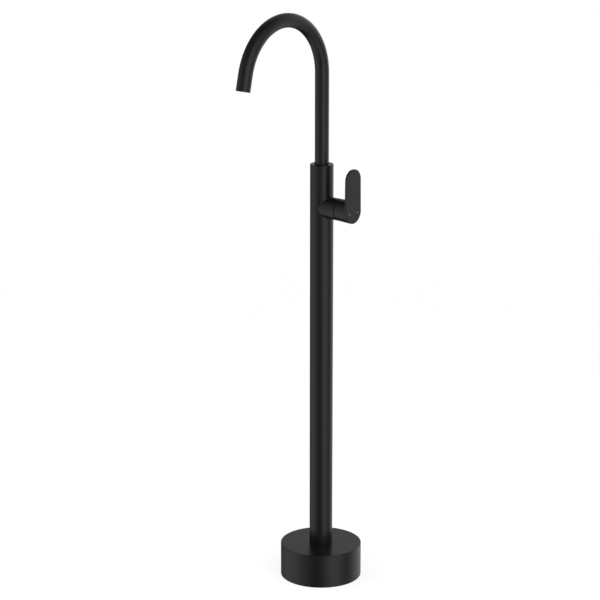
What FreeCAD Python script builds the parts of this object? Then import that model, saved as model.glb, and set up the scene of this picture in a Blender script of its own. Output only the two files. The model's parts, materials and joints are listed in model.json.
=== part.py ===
import FreeCAD, Part

import math
import os
import re

import Sketcher
from FreeCAD import Rotation, Vector

# Floor standing bath filler with one side lever.
#
# Frame: millimetres, +Z up. The origin lies on the floor, on the axis of the column.
# The spout reaches forward, along -Y, and the lever's valve axis runs out to the
# right, along +X, at the height valve_height.

# Driving dimensions: name, value, what it is.
SIZES = [
    # Gaps that several fits share
    ("fit_gap", 0.05, "radial gap of a pushed, screwed or brazed fit"),
    ("running_gap", 0.1, "radial gap of a turning or sliding fit"),
    ("free_gap", 0.3, "gap between moving pieces that must not touch"),
    # Foot
    ("flange_thickness", 8, "thickness of the floor flange's plate"),
    ("boss_wall", 9.75, "wall of the boss that holds the column"),
    ("boss_height", 42, "top of the boss above the floor"),
    ("boss_fillet", 5, "radius between boss and plate"),
    ("column_foot", 5, "ledge in the boss on which the column stands"),
    ("bolt_circle", 48, "radius of the circle of floor bolts"),
    ("bolt_margin", 14, "from a floor bolt's axis to the flange's edge"),
    ("bolt_hole", 5.5, "radius of a floor bolt's hole"),
    ("bolt_count", 4, "number of floor bolts"),
    ("clamp_screw_radius", 3, "radius of a screw that clamps the column in the boss"),
    ("clamp_screw_height", 30, "height of the clamp screws above the floor"),
    ("clamp_screw_recess", 1.5, "depth of a clamp screw below the boss's surface"),
    ("clamp_screw_count", 3, "number of clamp screws"),
    ("base_radius", 75, "outer radius of the base cover"),
    ("base_height", 62.4, "height of the base cover"),
    ("base_wall", 1.5, "wall of the base cover"),
    ("base_edge", 1.5, "rounding of the base cover's upper edge"),
    ("cover_seal_width", 5, "radial width of the base cover's rubber ring"),
    ("cover_seal_height", 6, "height of the base cover's rubber ring"),
    # Column
    ("column_radius", 21.2, "outer radius of the column"),
    ("column_wall", 2, "wall of the column"),
    ("column_edge", 1.2, "rounding of the column's upper edge"),
    ("top_plate", 3, "thickness of the plate that closes the column"),
    # Supplies inside the column
    ("pipe_radius", 6, "outer radius of a supply pipe"),
    ("pipe_wall", 1, "wall of a supply pipe"),
    ("pipe_offset", 9, "distance of a supply pipe from the column's axis"),
    ("tail_clearance", 1.5, "gap between an inlet tail and the flange's opening"),
    ("tail_radius", 7.5, "outer radius of an inlet tail"),
    ("tail_step", 0.5, "ledge in an inlet tail on which its pipe stands"),
    ("tail_end", 4, "height of the inlet tails' lower ends above the floor"),
    ("tail_length", 36, "length of an inlet tail"),
    ("tail_socket", 10, "depth of a supply pipe in its inlet tail"),
    ("pipe_socket", 12, "depth of a supply pipe in the mixer body"),
    ("pipe_ring_width", 1.2, "radial width of a supply pipe's rubber ring"),
    ("pipe_ring_height", 2.5, "height of a supply pipe's rubber ring"),
    ("spacer_thickness", 10, "thickness of a plastic pipe spacer"),
    ("spacer_height", 90, "height of the lower pipe spacer above the floor"),
    ("spacer_pitch", 300, "distance between the two pipe spacers"),
    # Valve barrel and mixer body, measured from the valve axis
    ("valve_height", 707.7, "height of the valve axis above the floor"),
    ("barrel_wall", 1.8, "wall of the valve barrel"),
    ("body_below", 36, "mixer body below the valve axis"),
    ("body_above", 30, "mixer body above the valve axis"),
    ("seat_x", 8, "distance of the cartridge's seat from the column's axis"),
    ("channel_radius", 3.5, "radius of the hot and cold channels"),
    ("port_radius", 3, "radius of the hot and cold ports in the seat"),
    ("port_circle", 7.9, "distance of the hot and cold ports from the valve axis"),
    ("port_angle", 34.7, "angle of those ports below the horizontal, in degrees"),
    ("outlet_port_radius", 3.5, "radius of the mixed water port"),
    ("outlet_port_rise", 6.5, "height of the mixed water port above the valve axis"),
    ("port_ring_width", 1.8, "radial width of a port's rubber ring"),
    ("port_ring_depth", 1.5, "thickness of a port's rubber ring"),
    ("riser_radius", 7, "outer radius of the riser to the spout"),
    ("riser_wall", 1.2, "wall of the riser"),
    ("riser_socket", 9, "depth of the riser in the mixer body and in the spout socket"),
    ("riser_free", 6, "free length of the riser between mixer body and spout socket"),
    # Cartridge, from the seat outwards
    ("cartridge_gap", 0.5, "radial gap between cartridge and barrel"),
    ("cartridge_wall", 3.3, "wall of the cartridge's wide part"),
    ("cartridge_base_thickness", 4, "thickness of the cartridge's base"),
    ("disc_room", 1.7, "radial gap between the fixed ceramic disc and the cartridge's wall"),
    ("port_margin", 1.6, "ceramic between a port and the fixed disc's edge"),
    ("disc_thickness", 3, "thickness of a ceramic disc"),
    ("disc_rest_offset", 1.8, "drop of the sliding disc when the water is shut off"),
    ("disc_chamber_radius", 5.5, "radius of the sliding disc's mixing recess"),
    ("disc_chamber_depth", 1.5, "depth of the sliding disc's mixing recess"),
    ("carrier_thickness", 4.4, "thickness of the disc carrier"),
    ("carrier_half_length", 8, "half the length of the disc carrier"),
    ("shoulder_x", 14, "length of the cartridge's wide part beyond its base"),
    ("neck_wall", 2.1, "wall of the cartridge's neck"),
    ("neck_length", 12, "length of the cartridge's neck"),
    ("neck_lip", 1.5, "thickness of the lip that keeps the rotor in the neck"),
    ("lip_cover", 1, "how far that lip reaches over the rotor"),
    ("rotor_radius", 10.8, "radius of the cartridge's rotor"),
    ("dog_inset", 1.5, "from the rotor's side to a dog's outer face"),
    ("dog_width", 3.2, "width of a rotor dog that drives the disc carrier"),
    ("dog_half_length", 4.5, "half the length of a rotor dog"),
    ("slot_below", 7.6, "rotor slot below the axis, for the open lever"),
    ("slot_above", 6.2, "rotor slot above the axis, for the stem's ball arm"),
    ("nut_thickness", 7, "thickness of the cartridge's retaining nut"),
    ("nut_notch_radius", 1.6, "radius of a notch for the nut's pin wrench"),
    ("nut_notch_depth", 3.5, "depth of those notches"),
    ("nut_notch_count", 4, "number of those notches"),
    # Lever mechanism
    ("seam_offset", 6, "from the cartridge's neck to the seam between barrel and lever"),
    ("pivot_setback", 14, "distance of the tilt axis behind the seam"),
    ("skirt_rim", 0.7, "thickness of the lever's skirt at the seam"),
    ("dome_wall", 1.6, "wall of the dome that closes the barrel"),
    ("dome_step", 1.2, "how far the dome lies below the barrel's edge, as a shadow groove"),
    ("dome_opening", 13.4, "radius of the stem's opening in the dome"),
    ("dome_gap", 1.4, "gap between the retaining nut and the dome's screwed skirt"),
    ("pin_radius", 2, "radius of the tilt pin"),
    ("pin_inset", 1.2, "depth of the tilt pin's ends in the rotor's side"),
    ("stem_width", 8, "width of the square stem"),
    ("stem_tail", 3.5, "square stem behind the tilt axis"),
    ("stem_cover", 7.3, "metal between the stem's end and the lever's face"),
    ("ball_arm_radius", 1.8, "radius of the arm between stem and ball"),
    ("ball_radius", 2.2, "radius of the stem's ball"),
    # Lever
    ("lever_depth", 29.3, "from the seam to the lever's flat outer face"),
    ("blade_thickness", 3.6, "thickness of the lever's blade"),
    ("paddle_radius", 21.2, "radius of the lever's round lower end"),
    ("shoulder_rise", 54.3, "height of the blade's shoulders above the valve axis"),
    ("shoulder_half_width", 20.1, "half width of the blade at its shoulders"),
    ("blade_rise", 78.3, "height of the blade's tip above the valve axis"),
    ("tip_inset", 2.9, "how much smaller the tip's radius is than the half width"),
    ("hub_fillet", 3.5, "radius between the hub and the blade's back"),
    ("blade_edge", 0.5, "rounding of the blade's rim"),
    ("index_side", 11.2, "distance of an index dot from the middle of the face"),
    ("index_drop", 2.2, "drop of the index dots below the valve axis"),
    ("index_radius", 1.6, "radius of an index dot"),
    ("index_depth", 1, "depth of an index dot's recess"),
    ("index_proud", 0.1, "height of an index dot above the face"),
    ("set_screw_offset", 16.5, "distance of the lever's set screw from the seam"),
    ("set_screw_radius", 2.5, "radius of the lever's set screw"),
    ("set_screw_length", 8, "length of the lever's set screw"),
    ("plug_radius", 3.1, "radius of the plug over the set screw"),
    ("plug_length", 3, "length of the plug over the set screw"),
    ("plug_recess", 1.2, "depth of the plug under the hub's surface"),
    # Spout
    ("spout_radius", 12.7, "outer radius of the spout's tube"),
    ("spout_wall", 1.5, "wall of the spout's tube"),
    ("spout_straight", 164.8, "spout's straight stretch above the column's top"),
    ("bend_radius", 104.3, "radius of the spout's bend, to the tube's axis"),
    ("bend_angle", 166.8, "turn of the spout's bend in degrees"),
    ("spout_tail", 29.9, "straight tube between bend and outlet"),
    ("spout_edge", 0.5, "rounding of the tube's cut end"),
    ("spout_insert", 11.4, "depth of the spout's tube in the column"),
    ("bush_wall", 1.5, "wall of the swivel bush"),
    ("bush_lip", 1, "thickness of the swivel bush's lip"),
    ("bush_recess", 0.6, "depth of the bush below the column's top"),
    ("spigot_step", 0.7, "how much smaller the spigot's radius is than the tube's"),
    ("spigot_wall", 3.5, "wall of the spigot"),
    ("spigot_neck", 3.8, "spigot between the stop groove and the spout's tube"),
    ("spigot_tongue", 14, "spigot inside the spout's tube"),
    ("water_chamber", 3, "height of the water chamber under the spigot"),
    ("seal_cord", 0.9, "radius of a spigot O-ring's cord"),
    ("seal_room", 0.4, "how much wider an O-ring's groove is than its cord"),
    ("seal_first", 3, "height of the lower groove's middle above the spigot's end"),
    ("seal_pitch", 4, "distance between the O-rings"),
    ("stop_land", 2.1, "spigot between the upper O-ring's groove and the stop groove"),
    ("stop_screw_radius", 2.5, "radius of the stop screw's thread"),
    ("stop_tip_radius", 1.9, "radius of the stop screw's tip"),
    ("stop_tip_clearance", 0.4, "gap between the tip and the groove's floor"),
    ("stop_groove_depth", 1.8, "depth of the spigot's stop groove"),
    ("stop_groove_height", 4.6, "height of the spigot's stop groove"),
    ("stop_groove_angle", 144, "length of the stop groove in degrees"),
    # Aerator, measured back from the outlet
    ("aerator_recess", 1, "depth of the aerator's face in the outlet"),
    ("aerator_length", 13, "length of the aerator's housing"),
    ("aerator_wall", 1.55, "wall of the aerator's housing"),
    ("insert_recess", 1.4, "depth of the straightener in the aerator's housing"),
    ("insert_length", 9, "length of the flow straightener"),
    ("jet_radius", 1.9, "radius of a straightener's hole"),
    ("jet_rim", 1.75, "straightener outside its ring of holes"),
    ("jet_count", 6, "holes around the middle one"),
    ("gasket_thickness", 1.8, "thickness of the aerator's gasket"),
    ("gasket_lip", 1.6, "how far the gasket reaches in from the aerator's opening"),
]

# Places and sizes that follow from the driving dimensions.
COLUMN_BORE = "(column_radius - column_wall)"
COLUMN_SOCKET = "(column_radius + fit_gap)"
BODY_RADIUS = f"({COLUMN_BORE} - fit_gap)"
FLANGE_RADIUS = "(bolt_circle + bolt_margin)"
FLANGE_OPENING = "(pipe_offset + tail_radius + tail_clearance)"
BOSS_RADIUS = f"({COLUMN_SOCKET} + boss_wall)"
COVER_SEAL_BORE = "(column_radius + running_gap)"
TAIL_SOCKET = "(tail_end + tail_length - tail_socket)"
TAIL_BORE = "(pipe_radius - tail_step)"
PIPE_TOP = "(valve_height - body_below + pipe_socket)"

# Cartridge and barrel, outwards from the ports
PORT_SIDE = "(port_circle * cos(port_angle))"
PORT_DROP = "(port_circle * sin(port_angle))"
FIXED_DISC_RADIUS = "(port_circle + port_radius + port_margin)"
MOVING_DISC_RADIUS = f"({FIXED_DISC_RADIUS} - disc_rest_offset - free_gap)"
CAVITY_RADIUS = f"({FIXED_DISC_RADIUS} + disc_room)"
CARTRIDGE_RADIUS = f"({CAVITY_RADIUS} + cartridge_wall)"
BARREL_BORE = f"({CARTRIDGE_RADIUS} + cartridge_gap)"
BARREL_RADIUS = f"({BARREL_BORE} + barrel_wall)"
NECK_BORE = "(rotor_radius + running_gap)"
NECK_RADIUS = f"({NECK_BORE} + neck_wall)"
DOG_OUTER = "(rotor_radius - dog_inset)"
DOG_INNER = f"({DOG_OUTER} - dog_width)"
CARRIER_HALF_WIDTH = f"({DOG_INNER} - running_gap)"

# Planes along the valve axis, from the cartridge's seat to the lever's face
DISC_FACE = "(seat_x + cartridge_base_thickness)"
CARRIER_FACE = f"({DISC_FACE} + 2 * disc_thickness)"
ROTOR_FACE = f"({CARRIER_FACE} + carrier_thickness + free_gap)"
SHOULDER = f"({DISC_FACE} + shoulder_x)"
NUT_END = f"({SHOULDER} + nut_thickness)"
NECK_END = f"({SHOULDER} + neck_length)"
LIP_FACE = f"({NECK_END} - neck_lip)"
SEAM = f"({NECK_END} + seam_offset)"
PIVOT_X = f"({SEAM} - pivot_setback)"
BALL_X = f"({CARRIER_FACE} + free_gap + ball_radius)"
FACE = f"({SEAM} + lever_depth)"
BLADE_BACK = f"({FACE} - blade_thickness)"
STEM_END = f"({FACE} - stem_cover)"
SET_SCREW_X = f"({SEAM} + set_screw_offset)"

# Ball joint between dome and lever
SOCKET_RADIUS = f"sqrt(pivot_setback ^ 2 + ({BARREL_RADIUS} - skirt_rim) ^ 2)"
BARREL_REACH = f"sqrt(({SOCKET_RADIUS} - free_gap) ^ 2 - {BARREL_RADIUS} ^ 2)"
BARREL_END = f"({PIVOT_X} + {BARREL_REACH})"
DOME_RADIUS = f"({SOCKET_RADIUS} - free_gap - dome_step)"
DOME_EDGE = f"sqrt({DOME_RADIUS} ^ 2 - {BARREL_REACH} ^ 2)"
DOME_INSIDE = f"({DOME_RADIUS} - dome_wall)"
DOME_BORE = f"({BARREL_BORE} - fit_gap - dome_wall)"
SKIRT_START = f"({NUT_END} + dome_gap)"

# Hub of the lever, a cone from the barrel's radius to the blade's
HUB_FLARE = f"((paddle_radius - {BARREL_RADIUS}) / ({BLADE_BACK} - {SEAM}))"
HUB_AT_SCREW = f"({BARREL_RADIUS} + {HUB_FLARE} * set_screw_offset)"
PLUG_FACE = f"({HUB_AT_SCREW} - plug_recess)"
PLUG_SEAT = f"({PLUG_FACE} - plug_length)"

# Spout's bearing in the column's top, upwards from the mixer body
SPOUT_BORE = "(spout_radius - spout_wall)"
SPIGOT_RADIUS = "(spout_radius - spigot_step)"
SPIGOT_BORE = f"({SPIGOT_RADIUS} - spigot_wall)"
SPIGOT_SOCKET = f"({SPIGOT_RADIUS} + running_gap)"
BUSH_RADIUS = "(spout_radius + running_gap + bush_wall)"
SEAL_FLOOR = f"({SPIGOT_SOCKET} - 2 * fit_gap - 2 * seal_cord)"
SEAL_WIDTH = "(2 * seal_cord + seal_room)"
STOP_RISE = f"(seal_first + seal_pitch + {SEAL_WIDTH} / 2 + stop_land + stop_groove_height / 2)"
STOP_FLOOR = f"({SPIGOT_RADIUS} - stop_groove_depth)"
SPIGOT_LENGTH = f"({STOP_RISE} + stop_groove_height / 2 + spigot_neck)"
SOCKET_END = "(valve_height + body_above + riser_free)"
CHAMBER_FLOOR = f"({SOCKET_END} + riser_socket)"
SPIGOT_END = f"({CHAMBER_FLOOR} + water_chamber + free_gap)"
STOP_HEIGHT = f"({SPIGOT_END} + {STOP_RISE})"
TUBE_END = f"({SPIGOT_END} + {SPIGOT_LENGTH})"
BUSH_FLOOR = f"({TUBE_END} - free_gap - bush_lip)"
COLUMN_TOP = f"({TUBE_END} + spout_insert)"
SPOUT_RISE = f"({COLUMN_TOP} + spout_straight)"

# Aerator
AERATOR_BORE = f"({SPOUT_BORE} - fit_gap - aerator_wall)"
INSERT_RADIUS = f"({AERATOR_BORE} - fit_gap)"
JET_CIRCLE = f"({INSERT_RADIUS} - jet_rim - jet_radius)"
GASKET_BORE = f"({AERATOR_BORE} - gasket_lip)"

# How closely an edge must lie at a place to be taken for the wanted one
EDGE_TOLERANCE = 0.01

document = FreeCAD.newDocument("BathFiller")
sheet = document.addObject("Spreadsheet::Sheet", "Sizes")
for row, (alias, size, meaning) in enumerate(SIZES, start=1):
    sheet.set(f"A{row}", alias)
    sheet.set(f"B{row}", str(size))
    sheet.set(f"C{row}", meaning)
    sheet.setAlias(f"B{row}", alias)
document.recompute()
ALIASES = {alias for alias, size, meaning in SIZES}


def bound(text):
    """Turn each size's name in a formula into a reference to its cell."""
    return re.sub(r"[a-z_]+", lambda m: "Sizes." + m[0] if m[0] in ALIASES else m[0], text)


def value(text):
    """The number that a formula gives now."""
    result = sheet.evalExpression(bound(text))
    return float(getattr(result, "Value", result))


# Shared construction steps

PLANES = {"XY_Plane": 1, "XZ_Plane": -1, "YZ_Plane": 1}  # +1 where the normal points along its axis


def new_body(label, x="0", y="0", z="0"):
    """A body whose origin lies at the given place."""
    body = document.addObject("PartDesign::Body", label)
    body.Label = label
    for axis, place in zip("xyz", (x, y, z)):
        body.setExpression(f"Placement.Base.{axis}", bound(place))
    return body


def origin_part(body, role):
    """One of the body's own origin planes or axes."""
    return next(part for part in body.Origin.OriginFeatures if part.Role == role)


def new_sketch(body, plane, offset="0"):
    """A sketch on an origin plane, moved along that plane's axis."""
    sketch = body.newObject("Sketcher::SketchObject", body.Label + "_sketch")
    sketch.AttachmentSupport = [(origin_part(body, plane), "")]
    sketch.MapMode = "FlatFace"
    sketch.setExpression("AttachmentOffset.Base.z", bound(f"{PLANES[plane]} * ({offset})"))
    return sketch


def bind(sketch, constraint, formula):
    """Add a dimension to a sketch and tie it to the sheet."""
    index = sketch.addConstraint(constraint)
    sketch.setExpression(f"Constraints[{index}]", bound(formula))


def draw_outline(sketch, corners):
    """Draw a closed outline.

    Each corner is (x, y), or (x, y, radius, side) where the edge that leaves it is an
    arc. The side is +1 where the arc bulges to the right of its direction of travel
    and -1 where it bulges to the left.
    """
    places = [(value(corner[0]), value(corner[1])) for corner in corners]
    first = sketch.GeometryCount
    count = len(corners)
    for number, corner in enumerate(corners):
        start = Vector(*places[number], 0)
        end = Vector(*places[(number + 1) % count], 0)
        if len(corner) == 2:
            sketch.addGeometry(Part.LineSegment(start, end))
            continue
        chord = end - start
        bulge = Vector(chord.y, -chord.x, 0).normalize() * corner[3]
        radius = value(corner[2])
        rise = radius - (radius ** 2 - (chord.Length / 2) ** 2) ** 0.5
        middle = (start + end) * 0.5 + bulge * rise
        sketch.addGeometry(Part.Arc(start, middle, end))
    for number, corner in enumerate(corners):
        edge = first + number
        begins = start_point(sketch, edge, places[number])
        following = (number + 1) % count
        ends = 2 if begins == 1 else 1
        next_start = start_point(sketch, first + following, places[following])
        sketch.addConstraint(
            Sketcher.Constraint("Coincident", edge, ends, first + following, next_start)
        )
        x, y = places[number]
        bind(sketch, Sketcher.Constraint("DistanceX", -1, 1, edge, begins, x), corner[0])
        bind(sketch, Sketcher.Constraint("DistanceY", -1, 1, edge, begins, y), corner[1])
        if len(corner) > 2:
            bind(sketch, Sketcher.Constraint("Radius", edge, value(corner[2])), corner[2])


def start_point(sketch, edge, place):
    """Which end of an edge lies at the place: 1 for its first, 2 for its last."""
    first = sketch.getPoint(edge, 1)
    last = sketch.getPoint(edge, 2)
    here = Vector(*place, 0)
    return 1 if (first - here).Length <= (last - here).Length else 2


def draw_circle(sketch, radius, x="0", y="0"):
    """Draw a circle and bind its middle and radius."""
    middle = Vector(value(x), value(y), 0)
    circle = sketch.addGeometry(Part.Circle(middle, Vector(0, 0, 1), value(radius)))
    bind(sketch, Sketcher.Constraint("Radius", circle, value(radius)), radius)
    bind(sketch, Sketcher.Constraint("DistanceX", -1, 1, circle, 3, middle.x), x)
    bind(sketch, Sketcher.Constraint("DistanceY", -1, 1, circle, 3, middle.y), y)


def draw_box(sketch, left, right, low, high):
    """Draw an upright rectangle."""
    draw_outline(sketch, [(left, low), (right, low), (right, high), (left, high)])


def revolve(body, corners, plane="XZ_Plane", axis="V_Axis"):
    """Turn an outline, given as (radius, height) corners, around an axis of its plane.

    With axis H_Axis the corners are (distance along the axis, radius).
    """
    sketch = new_sketch(body, plane)
    draw_outline(sketch, corners)
    turned = body.newObject("PartDesign::Revolution", body.Label + "_turned")
    turned.Profile = sketch
    turned.ReferenceAxis = (sketch, [axis])
    turned.Angle = 360
    document.recompute()
    return turned


def extrude(body, kind, sketch, low, high):
    """Make a Pad or Pocket from low to high; its sketch lies halfway between them."""
    feature = body.newObject(f"PartDesign::{kind}", f"{body.Label}_{kind.lower()}")
    feature.Profile = sketch
    feature.SideType = "Symmetric"
    feature.setExpression("Length", bound(f"({high}) - ({low})"))
    document.recompute()
    return feature


def pad(body, plane, low, high, draw, *shape):
    """Add material between two planes; draw(sketch, *shape) makes the outline."""
    sketch = new_sketch(body, plane, f"(({low}) + ({high})) / 2")
    draw(sketch, *shape)
    return extrude(body, "Pad", sketch, low, high)


def cut(body, plane, low, high, draw, *shape):
    """Take material away between two planes, and make sure that some went."""
    before = body.Shape.Volume
    sketch = new_sketch(body, plane, f"(({low}) + ({high})) / 2")
    draw(sketch, *shape)
    pocket = extrude(body, "Pocket", sketch, low, high)
    if not body.Shape.Volume < before:
        raise RuntimeError(f"a cut in {body.Label} takes nothing away")
    return pocket


def repeat_around(body, features, count, axis="Z_Axis"):
    """Repeat features around one of the body's axes."""
    pattern = body.newObject("PartDesign::PolarPattern", body.Label + "_around")
    pattern.Originals = features
    pattern.Axis = (origin_part(body, axis), [""])
    pattern.Angle = 360
    pattern.setExpression("Occurrences", bound(count))
    body.Tip = pattern
    document.recompute()
    return pattern


def repeat_along(body, features, pitch, axis="Z_Axis"):
    """Repeat features once more along one of the body's axes."""
    pattern = body.newObject("PartDesign::LinearPattern", body.Label + "_along")
    pattern.Originals = features
    pattern.Direction = (origin_part(body, axis), [""])
    pattern.Mode = "Spacing"
    pattern.setExpression("Offset", bound(pitch))
    pattern.Occurrences = 2
    body.Tip = pattern
    document.recompute()
    return pattern


def round_edges(body, base, radius, wanted, kind="Fillet"):
    """Round or bevel the edges of the base feature that the test picks."""
    names = [
        f"Edge{number}"
        for number, edge in enumerate(base.Shape.Edges, start=1)
        if wanted(edge)
    ]
    if not names:
        raise RuntimeError(f"no edge to round on {body.Label}")
    feature = body.newObject(f"PartDesign::{kind}", f"{body.Label}_{kind.lower()}")
    feature.Base = (base, names)
    feature.setExpression("Radius" if kind == "Fillet" else "Size", bound(radius))
    document.recompute()
    return feature


def is_ring(edge, radius, height, along="z"):
    """True for a full circle of this radius at this place along an axis."""
    curve = edge.Curve
    if not isinstance(curve, Part.Circle) or len(edge.Vertexes) != 1:
        return False
    place = getattr(curve.Center, along)
    off_radius = abs(curve.Radius - value(radius))
    off_place = abs(place - value(height))
    return off_radius < EDGE_TOLERANCE and off_place < EDGE_TOLERANCE


def ring(label, inner, outer, low, high, x="0", y="0", z="0", plane="XY_Plane"):
    """A plain ring or tube between two planes."""
    body = new_body(label, x, y, z)
    sketch = new_sketch(body, plane, f"(({low}) + ({high})) / 2")
    draw_circle(sketch, outer)
    draw_circle(sketch, inner)
    extrude(body, "Pad", sketch, low, high)
    return body


# Foot


def floor_flange():
    """Plate bolted to the floor, with a boss in which the column is clamped."""
    body = new_body("floor_flange")
    turned = revolve(body, [
        (FLANGE_OPENING, "0"),
        (FLANGE_RADIUS, "0"),
        (FLANGE_RADIUS, "flange_thickness"),
        (BOSS_RADIUS, "flange_thickness"),
        (BOSS_RADIUS, "boss_height"),
        (COLUMN_SOCKET, "boss_height"),
        (COLUMN_SOCKET, "column_foot"),
        (FLANGE_OPENING, "column_foot"),
    ])
    round_edges(
        body, turned, "boss_fillet",
        lambda edge: is_ring(edge, BOSS_RADIUS, "flange_thickness"),
    )
    bolt_hole = cut(
        body, "XY_Plane", "0", "flange_thickness", draw_circle, "bolt_hole", "bolt_circle"
    )
    repeat_around(body, [bolt_hole], "bolt_count")
    screw_hole = cut(
        body, "YZ_Plane", FLANGE_OPENING, BOSS_RADIUS,
        draw_circle, "clamp_screw_radius", "0", "clamp_screw_height",
    )
    repeat_around(body, [screw_hole], "clamp_screw_count")


def flange_clamp_screws():
    """Set screws through the boss, with their tips on the column."""
    body = new_body("flange_clamp_screws", z="clamp_screw_height")
    screw = pad(
        body, "YZ_Plane", COLUMN_SOCKET, f"{BOSS_RADIUS} - clamp_screw_recess",
        draw_circle, "clamp_screw_radius",
    )
    repeat_around(body, [screw], "clamp_screw_count")


def base_cover():
    """Drawn cover that slides down the column over the flange."""
    body = new_body("base_cover")
    turned = revolve(body, [
        ("base_radius - base_wall", "0"),
        ("base_radius", "0"),
        ("base_radius", "base_height"),
        ("column_radius + free_gap", "base_height"),
        ("column_radius + free_gap", "base_height - base_wall"),
        ("base_radius - base_wall", "base_height - base_wall"),
    ])
    round_edges(
        body, turned, "base_edge", lambda edge: is_ring(edge, "base_radius", "base_height")
    )


def cover_seal_ring():
    """Rubber ring under the cover's top, which grips the column."""
    ring(
        "cover_seal_ring", COVER_SEAL_BORE, f"{COVER_SEAL_BORE} + cover_seal_width",
        "base_height - base_wall - cover_seal_height", "base_height - base_wall",
    )


# Column and supplies


def column_tube():
    """Tube with a plate welded into its top, a port for the valve and a screw hole."""
    body = new_body("column_tube")
    opening = f"{BUSH_RADIUS} + fit_gap"
    turned = revolve(body, [
        (COLUMN_BORE, "column_foot"),
        ("column_radius", "column_foot"),
        ("column_radius", COLUMN_TOP),
        (opening, COLUMN_TOP),
        (opening, f"{COLUMN_TOP} - top_plate"),
        (COLUMN_BORE, f"{COLUMN_TOP} - top_plate"),
    ])
    round_edges(
        body, turned, "column_edge", lambda edge: is_ring(edge, "column_radius", COLUMN_TOP)
    )
    past_wall = "column_radius + column_wall"
    cut(body, "YZ_Plane", "0", past_wall, draw_circle, BARREL_BORE, "0", "valve_height")
    cut(
        body, "XZ_Plane", "0", past_wall,
        draw_circle, "stop_screw_radius + fit_gap", "0", STOP_HEIGHT,
    )


def supply_pipe(label, side):
    """Copper pipe from the floor to the mixer body."""
    ring(
        label, "pipe_radius - pipe_wall", "pipe_radius", TAIL_SOCKET, PIPE_TOP,
        y=f"{side} * pipe_offset",
    )


def inlet_tail(label, side):
    """Brass tail under a supply pipe, for a coupling of the floor's supply."""
    body = new_body(label, y=f"{side} * pipe_offset")
    revolve(body, [
        (TAIL_BORE, "tail_end"),
        ("tail_radius", "tail_end"),
        ("tail_radius", "tail_end + tail_length"),
        ("pipe_radius + fit_gap", "tail_end + tail_length"),
        ("pipe_radius + fit_gap", TAIL_SOCKET),
        (TAIL_BORE, TAIL_SOCKET),
    ])


def pipe_spacers():
    """Two plastic discs that hold the supply pipes in the column."""
    body = new_body("pipe_spacers", z="spacer_height")
    sketch = new_sketch(body, "XY_Plane")
    draw_circle(sketch, BODY_RADIUS)
    for side in ("1", "-1"):
        draw_circle(sketch, "pipe_radius + fit_gap", "0", f"{side} * pipe_offset")
    disc = extrude(body, "Pad", sketch, "0", "spacer_thickness")
    repeat_along(body, [disc], "spacer_pitch")


def pipe_seal_rings():
    """Rubber rings in the mouths of the mixer body's pipe sockets."""
    body = new_body("pipe_seal_rings", z="valve_height - body_below")
    sketch = new_sketch(body, "XY_Plane", "pipe_ring_height / 2")
    for side in ("1", "-1"):
        place = f"{side} * pipe_offset"
        draw_circle(sketch, "pipe_radius + fit_gap", "0", place)
        draw_circle(sketch, "pipe_radius + pipe_ring_width", "0", place)
    extrude(body, "Pad", sketch, "0", "pipe_ring_height")


def mixer_body():
    """Brass casting in the column: pipe sockets, channels and the cartridge's seat."""
    body = new_body("mixer_body", z="valve_height")
    pad(body, "XY_Plane", "-body_below", "body_above", draw_circle, BODY_RADIUS)
    cut(body, "YZ_Plane", "seat_x", "column_radius", draw_circle, BARREL_BORE)
    for side in ("1", "-1"):
        place = f"{side} * pipe_offset"
        cut(
            body, "XY_Plane", "-body_below", "pipe_socket - body_below",
            draw_circle, "pipe_radius + fit_gap", "0", place,
        )
        cut(
            body, "XY_Plane", "-body_below", "pipe_ring_height - body_below",
            draw_circle, "pipe_radius + pipe_ring_width + fit_gap", "0", place,
        )
        cut(
            body, "XY_Plane", "-body_below", f"-{PORT_DROP}",
            draw_circle, "channel_radius", "0", place,
        )
        cut(
            body, "YZ_Plane", "0", "seat_x",
            draw_circle, "port_radius", f"{side} * {PORT_SIDE}", f"-{PORT_DROP}",
        )
    cut(
        body, "YZ_Plane", "0", "seat_x",
        draw_circle, "outlet_port_radius", "0", "outlet_port_rise",
    )
    cut(body, "XY_Plane", "outlet_port_rise", "body_above", draw_circle, "outlet_port_radius")
    cut(
        body, "XY_Plane", "body_above - riser_socket", "body_above",
        draw_circle, "riser_radius + fit_gap",
    )


def riser_tube():
    """Tube that carries the mixed water from the mixer body to the spout's socket."""
    ring(
        "riser_tube", "riser_radius - riser_wall", "riser_radius",
        "valve_height + body_above - riser_socket", CHAMBER_FLOOR,
    )


def valve_barrel():
    """Short tube brazed to the column's side, its inner end cut to the column's round."""
    body = new_body("valve_barrel", z="valve_height")
    revolve(body, [
        ("seat_x", BARREL_BORE),
        (BARREL_END, BARREL_BORE),
        (BARREL_END, BARREL_RADIUS),
        ("seat_x", BARREL_RADIUS),
    ], axis="H_Axis")
    cut(body, "XY_Plane", f"-{BARREL_RADIUS}", BARREL_RADIUS, draw_circle, "column_radius")


# Cartridge


def draw_ports(sketch, allowance):
    """The hot, cold and mixed water ports, each widened by an allowance."""
    for side in ("1", "-1"):
        draw_circle(sketch, f"port_radius + {allowance}", f"{side} * {PORT_SIDE}", f"-{PORT_DROP}")
    draw_circle(sketch, f"outlet_port_radius + {allowance}", "0", "outlet_port_rise")


def cartridge_base():
    """Plastic base with three ports and a recess for a rubber ring around each."""
    body = new_body("cartridge_base", z="valve_height")
    pad(body, "YZ_Plane", "seat_x", DISC_FACE, draw_circle, CARTRIDGE_RADIUS)
    cut(body, "YZ_Plane", "seat_x", DISC_FACE, draw_ports, "0")
    cut(
        body, "YZ_Plane", "seat_x", "seat_x + port_ring_depth",
        draw_ports, "port_ring_width + fit_gap",
    )


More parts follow.
